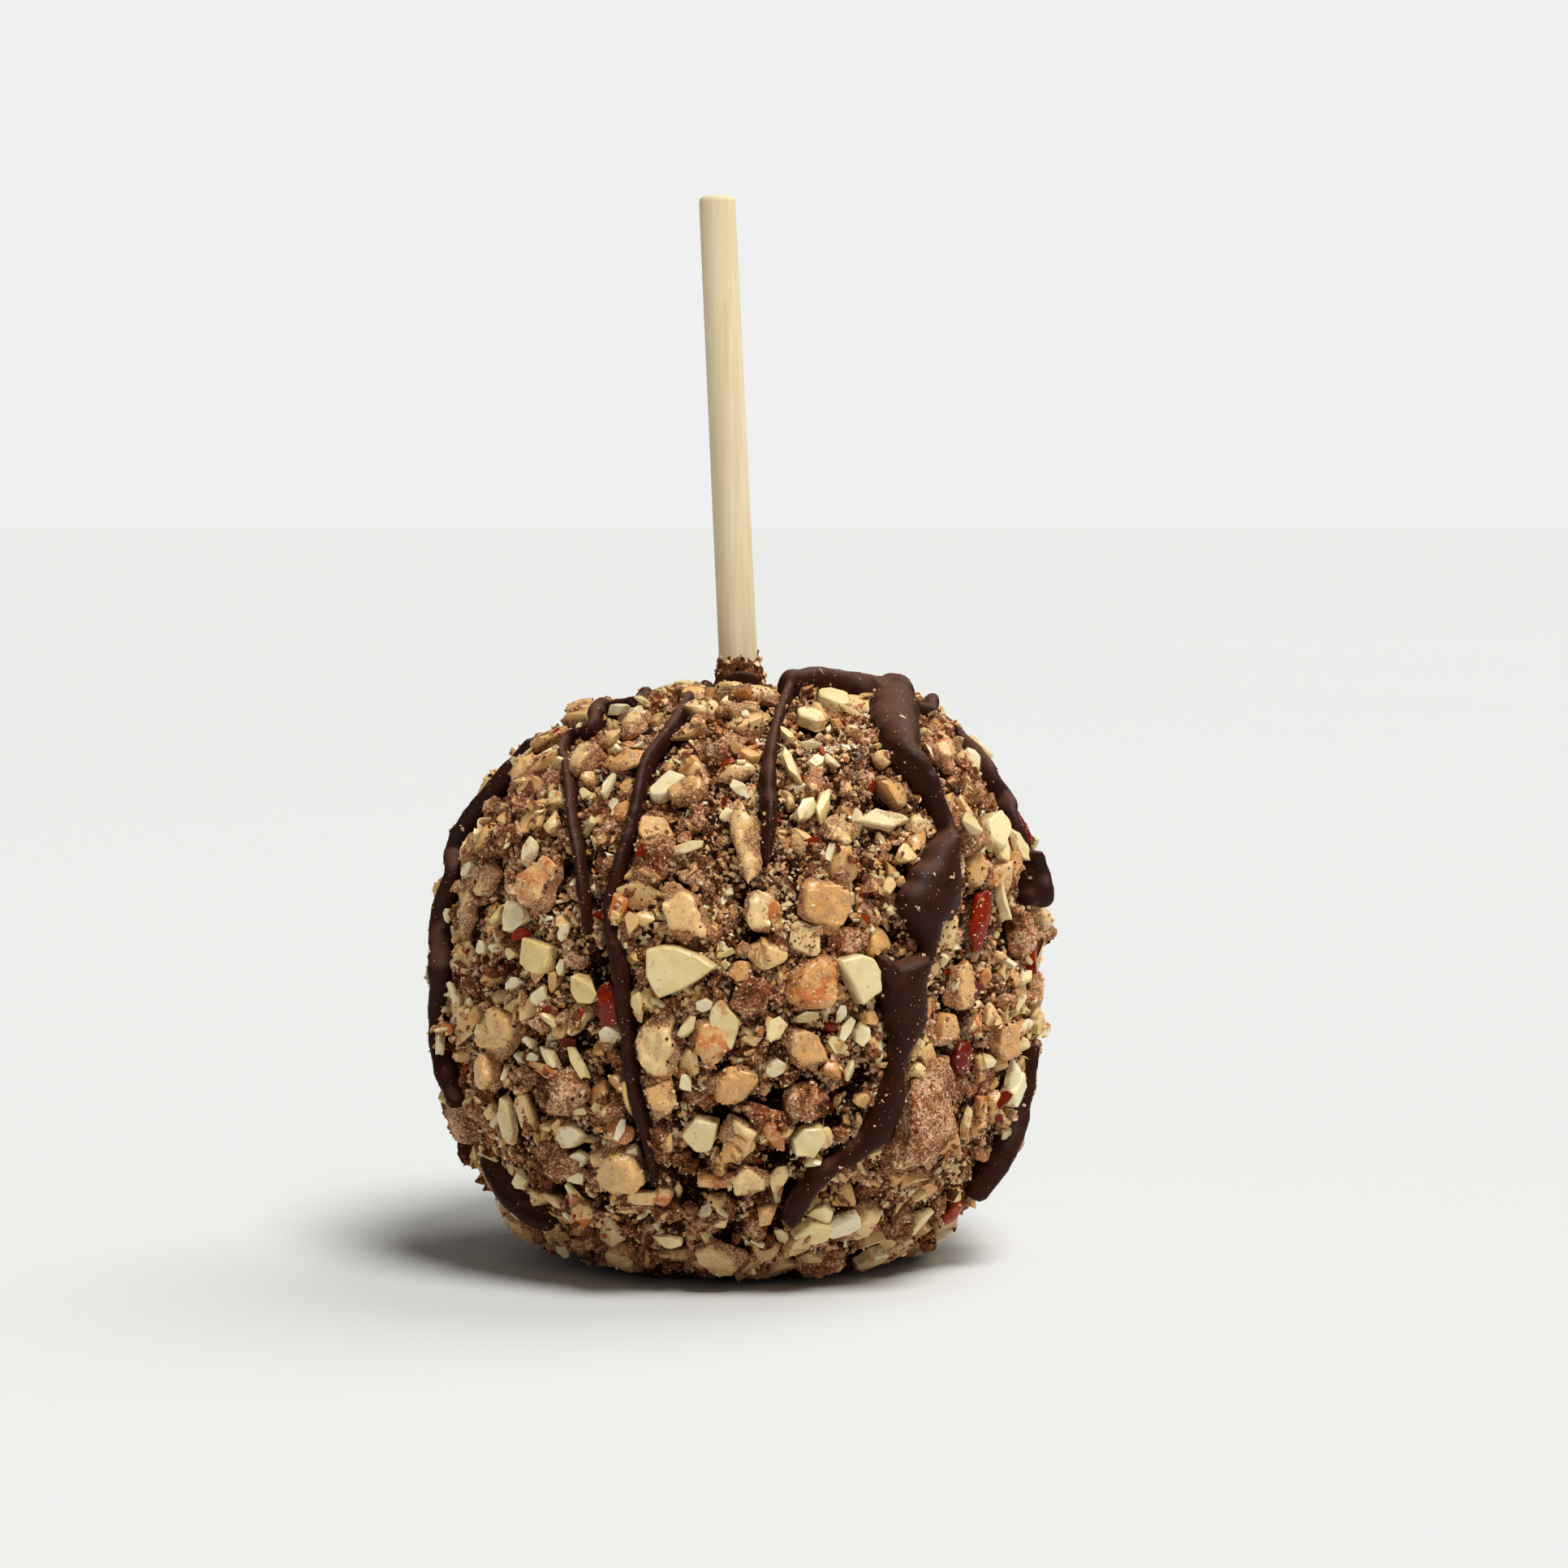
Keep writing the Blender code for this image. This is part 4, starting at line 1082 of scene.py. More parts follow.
def noise_at(tree, place, size, detail=3.0, roughness=0.6):
    """Soft noise with features of this size in millimetres."""
    inputs = {"Vector": place, "Scale": 1 / (size * MM), "Detail": detail, "Roughness": roughness}
    return add_node(tree, "ShaderNodeTexNoise", inputs).outputs["Fac"]


def new_material(name):
    """A new material, its tree, its surface shader and the place on the object."""
    material = bpy.data.materials.new(name)
    material.use_nodes = True
    tree = material.node_tree
    place = add_node(tree, "ShaderNodeTexCoord").outputs["Object"]
    return material, tree, tree.nodes["Principled BSDF"], place


def set_surface(tree, surface, **inputs):
    """Sets or links the inputs of the surface shader, named with _ for a space."""
    for name, value in inputs.items():
        plug(tree, surface.inputs[name.replace("_", " ")], value)


def bump(tree, height, distance, strength=1.0):
    """The normal of a surface with this relief, as high as this in millimetres."""
    inputs = {"Height": height, "Distance": distance * MM, "Strength": strength}
    return add_node(tree, "ShaderNodeBump", inputs).outputs["Normal"]


def toast_over(tree, place, colour, size, low, high, most=1.0):
    """The colour with orange-brown toast in patches of this size, on toasted pieces."""
    patches = spread(tree, noise_at(tree, place, size, 3.0), low, high, 0.0, most)
    toast = times(tree, stored(tree, "toast"), patches)
    return mix_colours(tree, toast, colour, settings().toffee.toasted)


def crumb_material(name, gaps=False, loose=False, crust=False, darker=0.0):
    """Cocoa crumb: sandy grains from near black to dusty tan, with dark seams between that are
    partly painted shade, and painted shade low on the apple.

    The loose kind is for single grains, each of one shade, and the crust is finer and more
    even, for whole lumps.
    """
    look = settings().coating
    material, tree, surface, place = new_material(name)
    small, fine, coarse = (grains_at(tree, place, size) for size in (0.22, 0.42, 1.0))
    patches = spread(tree, noise_at(tree, place, 4.0), 0.3, 0.7, -0.30, 0.30)
    # Painted shade: the crumb is painted darker low on the apple, where the light from above
    # reaches less.
    low = spread(tree, height_of(tree, place), 4 * MM, 34 * MM, -0.2, 0.0)
    patches = calculate(tree, "ADD", patches, low)
    tint = stored(tree, "tint")
    relief_height = 0.34
    if loose:
        relief_height = 0.10
        shade = weigh(tree, (tint, 0.96), (small["Shade"], 0.2), (patches, 0.6), (None, -0.11))
        seams = times(tree, small["Seam"], 0.15)
    elif crust:
        relief_height = 0.16
        shades = ((small["Shade"], 0.36), (fine["Shade"], 0.26), (tint, 0.30), (patches, 0.6))
        # Painted shade: lumps are darkened where they lie in a hollow.
        shade = weigh(tree, *shades, (stored(tree, "gap"), -0.5), (None, 0.05 - darker))
        seams = weigh(tree, (small["Seam"], 0.14), (coarse["Seam"], 0.14))
    else:
        shades = ((fine["Shade"], 0.52), (small["Shade"], 0.28), (coarse["Shade"], 0.16))
        shade = weigh(tree, *shades, (tint, 0.14), (patches, 1.0))
        seams = weigh(tree, (fine["Seam"], 0.5), (coarse["Seam"], 0.3), (small["Seam"], 0.15))
    colour = steps(
        tree, shade, (0.10, look.dark), (0.31, between(look.dark, look.middle, 0.48)),
        (0.49, look.middle), (0.65, look.light), (0.86, DUSTY_CRUMB),
    )
    rusty = spread(tree, noise_at(tree, place, 3.2, 3.0), 0.56, 0.70, 0.0, 0.62)
    colour = mix_colours(tree, rusty, colour, RUSTY, "MULTIPLY")
    # The seams are darkened towards the gap colour: partly dark caramel between the crumbs, partly
    # painted shade in the crevices.
    colour = mix_colours(tree, seams, colour, look.gap)
    roughness = 0.82
    if gaps:
        # Where the coating gapes: dark caramel with pale specks, deepened in the hollows by
        # painted shade.
        gap = stored(tree, "gap")
        deep = mix_colours(tree, specks_at(tree, place, 0.24, 0.35), look.gap, look.middle)
        colour = mix_colours(tree, gap, colour, deep)
        roughness = spread(tree, gap, 0.2, 0.9, roughness, 0.55)
    height = weigh(tree, (fine["Height"], 0.55), (coarse["Height"], 0.8), (small["Height"], 0.22))
    set_surface(
        tree, surface, Base_Color=colour, Roughness=roughness,
        Normal=bump(tree, height, relief_height), Specular_IOR_Level=0.1,
    )
    return material


def dust_material(name):
    """Pale granules and specks of dust."""
    material, tree, surface, place = new_material(name)
    tone = weigh(tree, (stored(tree, "tint"), 0.7), (noise_at(tree, place, 0.3), 0.3))
    colour = steps(tree, tone, (0.2, DEEP_DUST), (0.8, PALE_DUST))
    set_surface(tree, surface, Base_Color=colour, Roughness=0.7)
    return material


def toffee_material(name):
    """Toffee: tan, clear amber down its sides that is partly painted shade, dusted with sugar and
    cocoa; its sugar specks also serve as painted glints, and painted shade darkens its foot.
    """
    look = settings().toffee
    crumb = settings().coating
    material, tree, surface, place = new_material(name)
    top, up = stored(tree, "top"), height_of(tree, place)
    grains = grains_at(tree, place, 0.25)
    broad = noise_at(tree, place, 2.6)
    tones = ((stored(tree, "tint"), 0.55), (broad, 0.45), (grains["Shade"], 0.16))
    tone = weigh(tree, *tones, (None, -0.06))
    colour = steps(tree, tone, (0.14, look.amber), (0.46, look.tan), (0.84, look.pale))
    colour = toast_over(tree, place, colour, 3.0, 0.46, 0.60)
    # Partly the toffee's clearer amber edge, partly painted shade: the lower down its sides, the
    # more amber.
    clear = spread(tree, top, 0.1, 0.7, 0.42, 0.0)
    colour = mix_colours(tree, clear, colour, AMBER_AND_SIDE_SHADE)
    # Painted shade: the toffee is darkened towards the floor, where shade falls under the apple.
    foot = spread(tree, up, 1 * MM, 10 * MM, 0.65, 0.0)
    colour = mix_colours(tree, foot, colour, PAINTED_FOOT_SHADE)
    smudge = noise_at(tree, place, 1.3, 5.0, 0.7)
    sides = spread(tree, top, 0.15, 0.8, 0.34, -0.10)
    crown = spread(tree, up, 52 * MM, 80 * MM, 0.0, 0.07)
    dusty = spread(tree, weigh(tree, (smudge, 1.0), (sides, 1.0), (crown, 1.0)), 0.56, 0.66)
    dust = steps(
        tree,
        weigh(tree, (grains["Shade"], 0.75), (spread(tree, sides, -0.1, 0.1, 0.25, 0.0), 1.0)),
        (0.05, between(crumb.dark, crumb.middle, 0.5)), (0.30, crumb.middle),
        (0.50, between(look.toasted, look.tan, 0.4)), (0.66, crumb.light), (0.92, look.pale),
    )
    colour = mix_colours(tree, times(tree, dusty, 0.85), colour, dust)
    # The dust's seams are darkened: partly dark crumb, partly painted shade in the crevices
    # between its grains.
    seams = times(tree, times(tree, grains["Seam"], dusty), 0.2)
    colour = mix_colours(tree, seams, colour, crumb.dark)
    # Pale specks: partly sugar, partly painted glints that stand in for sparkle in the light.
    specks = specks_at(tree, place, 0.17, 0.42)
    colour = mix_colours(tree, times(tree, specks, 0.6), colour, SUGAR_AND_GLINT)
    dust_height = times(tree, grains["Height"], dusty)
    pits = noise_at(tree, place, 0.5, 4.0)
    heights = ((dust_height, 0.8), (grains["Height"], 0.08), (pits, 0.4), (specks, 0.4))
    set_surface(
        tree, surface, Base_Color=colour, Roughness=spread(tree, dusty, 0.0, 1.0, 0.28, 0.8),
        Normal=bump(tree, weigh(tree, *heights), 0.20, 0.9), Coat_Weight=0.15, Coat_Roughness=0.2,
        Subsurface_Weight=0.08, Subsurface_Radius=(1.0, 0.5, 0.25), Subsurface_Scale=0.7 * MM,
        Specular_IOR_Level=0.5,
    )
    return material


def almond_material(name):
    """Cut almond: cream with a faint grain, yellower and darker low round its rim, partly as
    painted shade, dusted at its sides.
    """
    look = settings().almond
    crumb = settings().coating
    material, tree, surface, place = new_material(name)
    top = stored(tree, "top")
    grain = noise_at(tree, place, 1.3, 5.0)
    cloud = noise_at(tree, place, 3.0, 2.0)
    tone = weigh(tree, (stored(tree, "tint"), 0.5), (grain, 0.3), (cloud, 0.5), (None, -0.15))
    colour = steps(tree, tone, (0.18, look.deep), (0.52, look.flesh), (0.84, PALEST_ALMOND))
    colour = toast_over(tree, place, colour, 2.0, 0.54, 0.68, 0.8)
    # Partly the almond's yellower edge, partly painted shade: the lower down its sides, the
    # yellower and darker.
    rim = spread(tree, top, 0.15, 0.9, 0.6, 0.0)
    colour = mix_colours(tree, rim, colour, ALMOND_RIM_AND_SHADE)
    grains = grains_at(tree, place, 0.28)
    sides = spread(tree, top, 0.2, 0.8, 0.14, -0.06)
    smudge = noise_at(tree, place, 1.2, 5.0, 0.7)
    dusty = spread(tree, weigh(tree, (smudge, 1.0), (sides, 1.0)), 0.57, 0.66)
    dust = steps(tree, grains["Shade"], (0.1, crumb.middle), (0.7, crumb.light))
    colour = mix_colours(tree, times(tree, dusty, 0.6), colour, dust)
    dust_height = times(tree, grains["Height"], dusty)
    height = weigh(tree, (dust_height, 1.0), (grain, 0.9), (cloud, 0.6))
    set_surface(
        tree, surface, Base_Color=colour, Roughness=spread(tree, dusty, 0.0, 1.0, 0.34, 0.72),
        Normal=bump(tree, height, 0.16, 0.8), Subsurface_Weight=0.15,
        Subsurface_Radius=(1.0, 0.7, 0.35), Subsurface_Scale=0.9 * MM,
    )
    return material


def skin_material(name):
    """Almond skin: glossy red-brown, with painted shade in its wrinkles and a painted highlight on
    their ridges.
    """
    look = settings().almond
    material, tree, surface, place = new_material(name)
    wrinkles = noise_at(tree, place, 1.1, 4.0)
    tone = weigh(tree, (stored(tree, "tint"), 0.4), (wrinkles, 0.6))
    # Painted light: the wrinkles that make the bump also darken the colour in their hollows and
    # lighten it on their ridges.
    shades = ((0.2, shaded(look.skin, 0.35)), (0.55, look.skin), (0.85, SKIN_RIDGE_HIGHLIGHT))
    colour = steps(tree, tone, *shades)
    specks = times(tree, specks_at(tree, place, 0.22, 0.1), 0.3)
    colour = mix_colours(tree, specks, colour, SKIN_DUST)
    set_surface(
        tree, surface, Base_Color=colour, Roughness=0.26, Normal=bump(tree, wrinkles, 0.18, 0.7),
        Specular_IOR_Level=0.15, Coat_Weight=0.2, Coat_Roughness=0.12,
    )
    return material


def chocolate_material(name):
    """Dark chocolate: satin, a little uneven, with pale specks stuck to it and a painted highlight
    on its upward faces.
    """
    look = settings().drizzle
    material, tree, surface, place = new_material(name)
    bloom = noise_at(tree, place, 2.6, 4.0)
    shades = ((0.35, shaded(look.chocolate, 0.75)), (0.68, shaded(look.chocolate, 1.25)))
    colour = steps(tree, bloom, *shades)
    # Painted highlight: faces that look up are mixed towards pale brown, as the light from above
    # would light them.
    upward = height_of(tree, add_node(tree, "ShaderNodeNewGeometry").outputs["Normal"])
    painted_highlight = spread(tree, upward, 0.4, 0.98, 0.0, 0.3)
    colour = mix_colours(tree, painted_highlight, colour, PAINTED_HIGHLIGHT)
    specks = specks_at(tree, place, 0.12, 0.03)
    colour = mix_colours(tree, specks, colour, look.dust)
    height = weigh(tree, (noise_at(tree, place, 1.5, 2.0), 1.0), (specks, 0.5))
    set_surface(
        tree, surface, Base_Color=colour, Roughness=spread(tree, bloom, 0.35, 0.7, 0.46, 0.56),
        Normal=bump(tree, height, 0.20, 0.5), Specular_IOR_Level=0.12,
    )
    return material


def wood_material(name):
    """Pale planed wood with long faint grain lines."""
    look = settings().stick
    material, tree, surface, place = new_material(name)
    upright = {"Vector": place, "Scale": (1.0, 1.0, 0.035), "Rotation": (0.0, -STICK_LEAN, 0.0)}
    stretched = add_node(tree, "ShaderNodeMapping", upright).outputs["Vector"]
    lines = noise_at(tree, stretched, 0.55, 4.0, 0.55)
    streaks = noise_at(tree, stretched, 1.9, 2.0)
    clouds = noise_at(tree, place, 9.0, 2.0)
    tone = weigh(tree, (lines, 0.45), (streaks, 0.35), (clouds, 0.2))
    colour = steps(tree, tone, (0.34, look.grain), (0.56, look.wood), (0.72, PALEST_WOOD))
    normal = bump(tree, lines, 0.05, 0.5)
    set_surface(tree, surface, Base_Color=colour, Roughness=0.58, Normal=normal)
    return material


def floor_material(name):
    """A plain pale floor, very faintly uneven."""
    tone = settings().stage.floor
    material, tree, surface, place = new_material(name)
    faint = noise_at(tree, place, 400.0, 2.0)
    colour = steps(tree, faint, (0.0, shaded(tone, 0.985)), (1.0, tone))
    set_surface(tree, surface, Base_Color=colour, Roughness=0.6, Specular_IOR_Level=0.2)
    return material


# ---- Shapes ----


def clump_share(place):
    """1 where crumb lies thick, 0 where the coating gapes."""
    broad = noise.noise(place * CLUMP_COUNT)
    fine = 0.5 * noise.noise(place * (CLUMP_COUNT * 2.6) + Vector((7, 3, 5)))
    return ease(clamp((broad + fine - CLUMP_LOW) / (CLUMP_HIGH - CLUMP_LOW)))


def make_hollows():
    """Where the coating gapes: the hollows of the front, and others by chance."""
    hollows = all_seen(FRONT_HOLLOWS)
    draw = random.Random(HOLLOW_SEED)
    while len(hollows) < len(FRONT_HOLLOWS) + HOLLOW_COUNT:
        outward = any_direction(draw)
        if outward.y > -0.2:
            hollows.append((coating_point(outward), draw.uniform(2.0, 4.2)))
    places, radii = zip(*hollows)
    return tree_among(places), radii


def hollow_share(place):
    """1 in the middle of a hollow, 0 at its rim and beyond."""
    tree, radii = State.hollows
    _, index, distance = tree.find(place)
    wobble = 1 + 0.5 * noise.noise(place * 0.7)
    return ease(clamp(1.35 - 1.35 * distance / (radii[index] * wobble)))


def cube_sphere(name, cuts):
    """An even ball of squares with a radius of 1, from a cube cut up in edit mode."""
    bpy.ops.mesh.primitive_cube_add(size=2)
    ball = bpy.context.object
    ball.name = name
    ball.data.name = name
    start_edit(ball)
    bpy.ops.mesh.subdivide(number_cuts=cuts)
    end_edit()
    points = coordinates(ball.data).astype(np.float64)
    points = np.tan(points * math.pi / 4)
    points /= np.linalg.norm(points, axis=1)[:, None]
    ball.data.vertices.foreach_set("co", points.astype(np.float32).ravel())
    return ball


def shape_coating(ball):
    """Brings the ball to the coating's form, with clumps, pebbles and gaps between, and marks the
    gaps for dark caramel, with painted shade in the hollows.
    """
    tints, gaps = [], []
    for vertex in ball.data.vertices:
        outward = vertex.co.normalized()
        place = coating_point(outward)
        clump = clump_share(place)
        distances, centres = noise.voronoi(place * PEBBLE_COUNT)
        pebble = min(1.0, 1.6 * (distances[1] - distances[0]))
        grit = noise.noise(place * GRIT_COUNT)
        height = CLUMP_RISE * clump - COAT_SINK + GRIT_RISE * grit
        height += PEBBLE_RISE * (pebble - 0.4) * (0.35 + 0.65 * clump)
        hollow = hollow_share(place)
        height -= HOLLOW_DEPTH * hollow
        place += outward * height
        place.z = max(place.z, 0.0)
        vertex.co = place * MM
        tints.append(noise.cell(centres[0] * 3.7 + Vector((0.5, 0.5, 0.5))) * 0.5 + 0.5)
        # Gap share: where the crumb is thin the dark caramel shows, and the hollows add painted
        # shade.
        gaps.append(clamp(1.35 - 1.3 * clump - 0.5 * pebble + 1.5 * hollow))
    add_value(ball.data, "tint", tints)
    add_value(ball.data, "gap", gaps)
    ball.data.update()


def rough_lump(kind, seat, axes, size, shifts):
    """One lump as its solid has it: a jittered primitive set into the coating."""
    if kind in FIRM_EDGED:
        bpy.ops.mesh.primitive_cube_add(size=1.7)
    else:
        bpy.ops.mesh.primitive_ico_sphere_add(subdivisions=1, radius=1.0)
    lump = bpy.context.object
    turn = Matrix(axes).transposed()
    half = Vector(size) / 2
    for vertex, shift in zip(lump.data.vertices, shifts):
        vertex.co = (seat + turn @ ((vertex.co + shift) * half)) * MM
    return lump


def break_off(target, middle, axes, half, cuts, draw, tops=1, level=(0.66, 0.86)):
    """Breaks flat faces off a lump: some of its top, this high, the others round its sides."""
    if not cuts:
        return target
    start_edit(target)
    turn = Matrix(axes).transposed()
    for index in range(cuts):
        angle = 2 * math.pi * (index + draw.uniform(-0.35, 0.35)) / max(1, cuts - tops)
        lift = draw.uniform(-0.15, 0.5)
        facing = Vector((math.cos(angle), math.sin(angle), lift))
        if index < tops:
            facing = Vector((draw.uniform(-0.4, 0.4), draw.uniform(-0.4, 0.4), 1.0))
        facing.normalize()
        normal = turn @ Vector([facing[side] / half[side] for side in range(3)])
        low, high = level if index < tops else (0.54, 0.80)
        place = middle + turn @ (facing * half) * draw.uniform(low, high)
        cut_off(place * MM, normal.normalized())
    end_edit()
    return target


def lumps_of(kind, plan, name, cuts=0, tops=1, buds=0.0, level=(0.66, 0.86), swell=1.0):
    """All the large pieces of one kind, joined, and where they sit.

    A bud is a smaller lump grown on at one side, which breaks up the round outline.
    Swelling makes up for what breaks off.
    """
    draw = random.Random(len(name))
    lumps, seats = [], []
    for found, seat, axes, size, shifts in plan:
        if found != kind:
            continue
        size = tuple(length * swell for length in size)
        half = Vector(size) / 2
        whole = rough_lump(kind, seat, axes, size, shifts)
        lumps.append(break_off(whole, seat, axes, half, cuts, draw, tops, level))
        seats.append(seat)
        if buds:
            angle = draw.uniform(0, 2 * math.pi)
            aside = axes[0] * (half.x * math.cos(angle)) + axes[1] * (half.y * math.sin(angle))
            place = seat + aside * 0.62 - axes[2] * half.z * 0.2
            share = buds * draw.uniform(0.8, 1.15)
            small = tuple(length * share for length in size)
            turned = random.Random(len(seats)).sample(shifts, len(shifts))
            bud = rough_lump(kind, place, axes, small, turned)
            lumps.append(break_off(bud, place, axes, half * share, cuts, draw, tops))
    return join(lumps, name), seats


def slice_outline(length, width, draw):
    """Corners of a broken almond slice: some sides straight, one side curved."""
    corners = []
    count = draw.choice((4, 5, 5, 6))
    curved = draw.randrange(count)
    start = draw.uniform(0, 2 * math.pi)
    for index in range(count):
        parts = 4 if index == curved else 1
        for part in range(parts):
            angle = start + 2 * math.pi * (index + part / parts) / count
            reach = 1.0 if parts > 1 else draw.uniform(0.82, 1.18)
            right = length / 2 * reach * math.cos(angle)
            corners.append((right, width / 2 * reach * math.sin(angle)))
    return corners


def almond_slice(item, corners, axes, draw):
    """A flat slice with these corners, its top a little smaller and tilted."""
    _, seat, _, (length, width, thickness), _ = item
    bpy.ops.mesh.primitive_circle_add(vertices=len(corners), fill_type="NGON", radius=1.0)
    piece = bpy.context.object
    for vertex, (right, up) in zip(piece.data.vertices, corners):
        vertex.co = (right, up, 0)
    apply_modifier(piece, "SOLIDIFY", thickness=thickness, offset=0.0)
    tilt = Vector((draw.uniform(-0.10, 0.10), draw.uniform(-0.10, 0.10)))
    turn = Matrix(axes).transposed()
    for vertex in piece.data.vertices:
        corner = vertex.co.copy()
        if corner.z > 0:
            corner.x *= SLICE_TAPER
            corner.y *= SLICE_TAPER
            corner.z += tilt.x * corner.x + tilt.y * corner.y
        vertex.co = (seat + turn @ corner) * MM
    return piece


def almond_slices(plan, name):
    """All the large almond slices, joined, and where they sit."""
    draw = random.Random(SLICE_SEED)
    pieces, seats = [], []
    for index, item in enumerate(plan):
        if item[0] != ALMOND:
            continue
        _, seat, axes, (length, width, _), _ = item
        if index in SLICE_OUTLINES:
            outline, axes = SLICE_OUTLINES[index], piece_axes(seat, 0)
        else:
            outline = slice_outline(length * 1.05, width * 1.1, draw)
        pieces.append(almond_slice(item, outline, axes, draw))
        seats.append(seat)
    return join(pieces, name), seats


def tree_of(target):
    """A search tree of the piece's faces, for rays."""
    return BVHTree.FromObject(target, bpy.context.evaluated_depsgraph_get())


def in_order(corners):
    """The corners of a triangle in the same turn, the lowest number first."""
    start = corners.index(min(corners))
    return corners[start:] + corners[:start]


def take_shape(grain):
    """The points and triangles of a grain, brought to a size of 1, and no object left.

    The triangles are put in order, because the modelling steps may leave them in any.
    """
    mesh = grain.data
    mesh.calc_loop_triangles()
    triangles = np.array(sorted(in_order(tuple(item.vertices)) for item in mesh.loop_triangles))
    points = coordinates(mesh).astype(np.float64)
    low, high = points.min(axis=0), points.max(axis=0)
    points = (points - (low + high) / 2) / (high - low)
    bpy.data.objects.remove(grain)
    return points, triangles


def grain_shape(sides, push, cuts, rounding, seed):
    """(points, triangles) of one broken bit, a block with faces broken off.

    A three-sided block is twisted half round, which makes a compact grain of eight faces.
    """
    draw = random.Random(seed)
    bpy.ops.mesh.primitive_cylinder_add(vertices=sides, radius=0.5, depth=0.9)
    grain = bpy.context.object
    if sides == 3:
        for vertex in grain.data.vertices:
            if vertex.co.z > 0:
                vertex.co = (-vertex.co.x, -vertex.co.y, vertex.co.z)
    start_edit(grain)
    bpy.ops.transform.vertex_random(offset=push, uniform=1.0, seed=seed)
    bpy.ops.mesh.convex_hull(join_triangles=True, face_threshold=math.radians(14))
    for _ in range(cuts):
        facing = any_direction(draw)
        facing.z *= 0.7
        cut_off(facing * draw.uniform(0.27, 0.38), facing.normalized())
    bpy.ops.mesh.select_all(action="SELECT")
    if rounding:
        bpy.ops.mesh.bevel(offset=rounding, segments=1, affect="EDGES")
    bpy.ops.mesh.select_all(action="SELECT")
    bpy.ops.mesh.quads_convert_to_tris()
    bpy.ops.mesh.normals_make_consistent(inside=False)
    end_edit()
    return take_shape(grain)


def chunk_shape(seed):
    """(points, triangles) of one crumbly chunk: two broken blocks grown together."""
    apart, second, smoothing, fineness, kept = CHUNK_RECIPE
    draw = random.Random(seed)
    blocks = []
    for scale, shift in ((1.0, 0.0), (second, apart)):
        bpy.ops.mesh.primitive_ico_sphere_add(subdivisions=1, radius=0.5 * scale)
        block = bpy.context.object
        angle = draw.uniform(0, 2 * math.pi)
        middle = Vector((shift * math.cos(angle), shift * math.sin(angle), 0))
        for vertex in block.data.vertices:
            vertex.co = middle + vertex.co + any_shift(draw, 0.08)
        half = Vector((0.5, 0.5, 0.5)) * (scale / MM)
        level = Matrix.Identity(3)
        blocks.append(break_off(block, middle / MM, level, half, 7, draw, 2))
    chunk = join(blocks, "chunk")
    remesh(chunk, 0.05, smoothing)
    roughen(chunk, "chunk unevenness", 2 * fineness, 0.22)
    apply_modifier(chunk, "DECIMATE", ratio=kept)
    return take_shape(chunk)


def grain_shapes(kind):
    """The grains of one kind, each made once to be copied."""
    if kind not in State.shapes:
        *recipe, count = GRAIN_RECIPES[kind]
        seed = 100 * (1 + sorted(GRAIN_RECIPES).index(kind))
        State.shapes[kind] = [grain_shape(*recipe, seed + number) for number in range(count)]
    return State.shapes[kind]


def copies_mesh(name, shapes, grains, generator, clean=False):
    """One mesh of many grains, each a copy of one of the shapes at its own place.

    Clean grains carry no dust round their sides.
    """
    centres = np.array([tuple(grain[0]) for grain in grains]) * MM
    axes = np.array([[tuple(axis) for axis in grain[1]] for grain in grains])
    sizes = np.array([tuple(grain[2]) for grain in grains]) * MM
    toast = np.array([grain[3] for grain in grains])
    tints = generator.random(len(grains))
    which = generator.integers(0, len(shapes), len(grains))
    points, triangles = [], []
    values = {"tint": [], "toast": [], "top": []}
    base = 0
    for index, (shape, faces) in enumerate(shapes):
        chosen = np.flatnonzero(which == index)
        if not len(chosen):
            continue
        scaled = shape[None, :, :] * sizes[chosen][:, None, :]
        placed = np.einsum("nvk,nkc->nvc", scaled, axes[chosen]) + centres[chosen][:, None, :]
        placed[:, :, 2] = np.maximum(placed[:, :, 2], 0.0)
        points.append(placed.reshape(-1, 3))
        starts = base + np.arange(len(chosen)) * len(shape)
        triangles.append((faces[None, :, :] + starts[:, None, None]).reshape(-1, 3))
        values["tint"].append(np.repeat(tints[chosen], len(shape)))
        values["toast"].append(np.repeat(toast[chosen], len(shape)))
        values["top"].append(np.tile(shape[:, 2] + (2.0 if clean else 0.5), len(chosen)))
        base += len(chosen) * len(shape)
    mesh = bpy.data.meshes.new(name)
    mesh.from_pydata(np.concatenate(points), [], np.concatenate(triangles))
    for value, parts in values.items():
        add_value(mesh, value, np.concatenate(parts))
    return new_object(name, mesh)


def lay_axes(normal, draw, tilt):
    """Random axes for a grain: it lies on its flat side, tilted a little."""
    normal = (normal + any_shift(draw, tilt)).normalized()
    side = normal.orthogonal().normalized()
    angle = draw.uniform(0, 2 * math.pi)
    along = side * math.cos(angle) + normal.cross(side) * math.sin(angle)
    return along, normal.cross(along), normal


def top_of(trees, place, normal, reach=7.0):
    """Which piece lies on top at this place, where, and which way it faces there."""
    start = (place + normal * reach) * MM
    best = None
    for name, tree in trees.items():
        spot, facing, _, distance = tree.ray_cast(start, -normal, 2 * reach * MM)
        if spot is not None and (best is None or distance < best[3]):
            best = (name, spot / MM, facing, distance)
    return best


def cluster_share(place, kind):
    """Where one kind of crumb gathers: 0 in its bare areas, 1 in its thick ones."""
    shift = Vector((11, 5, 2)) * (1 + CLUSTERS.index(kind))
    share = noise.noise(place * 0.13 + shift) + 0.4 * noise.noise(place * 0.4 + shift)
    return clamp(0.5 + 1.6 * share)


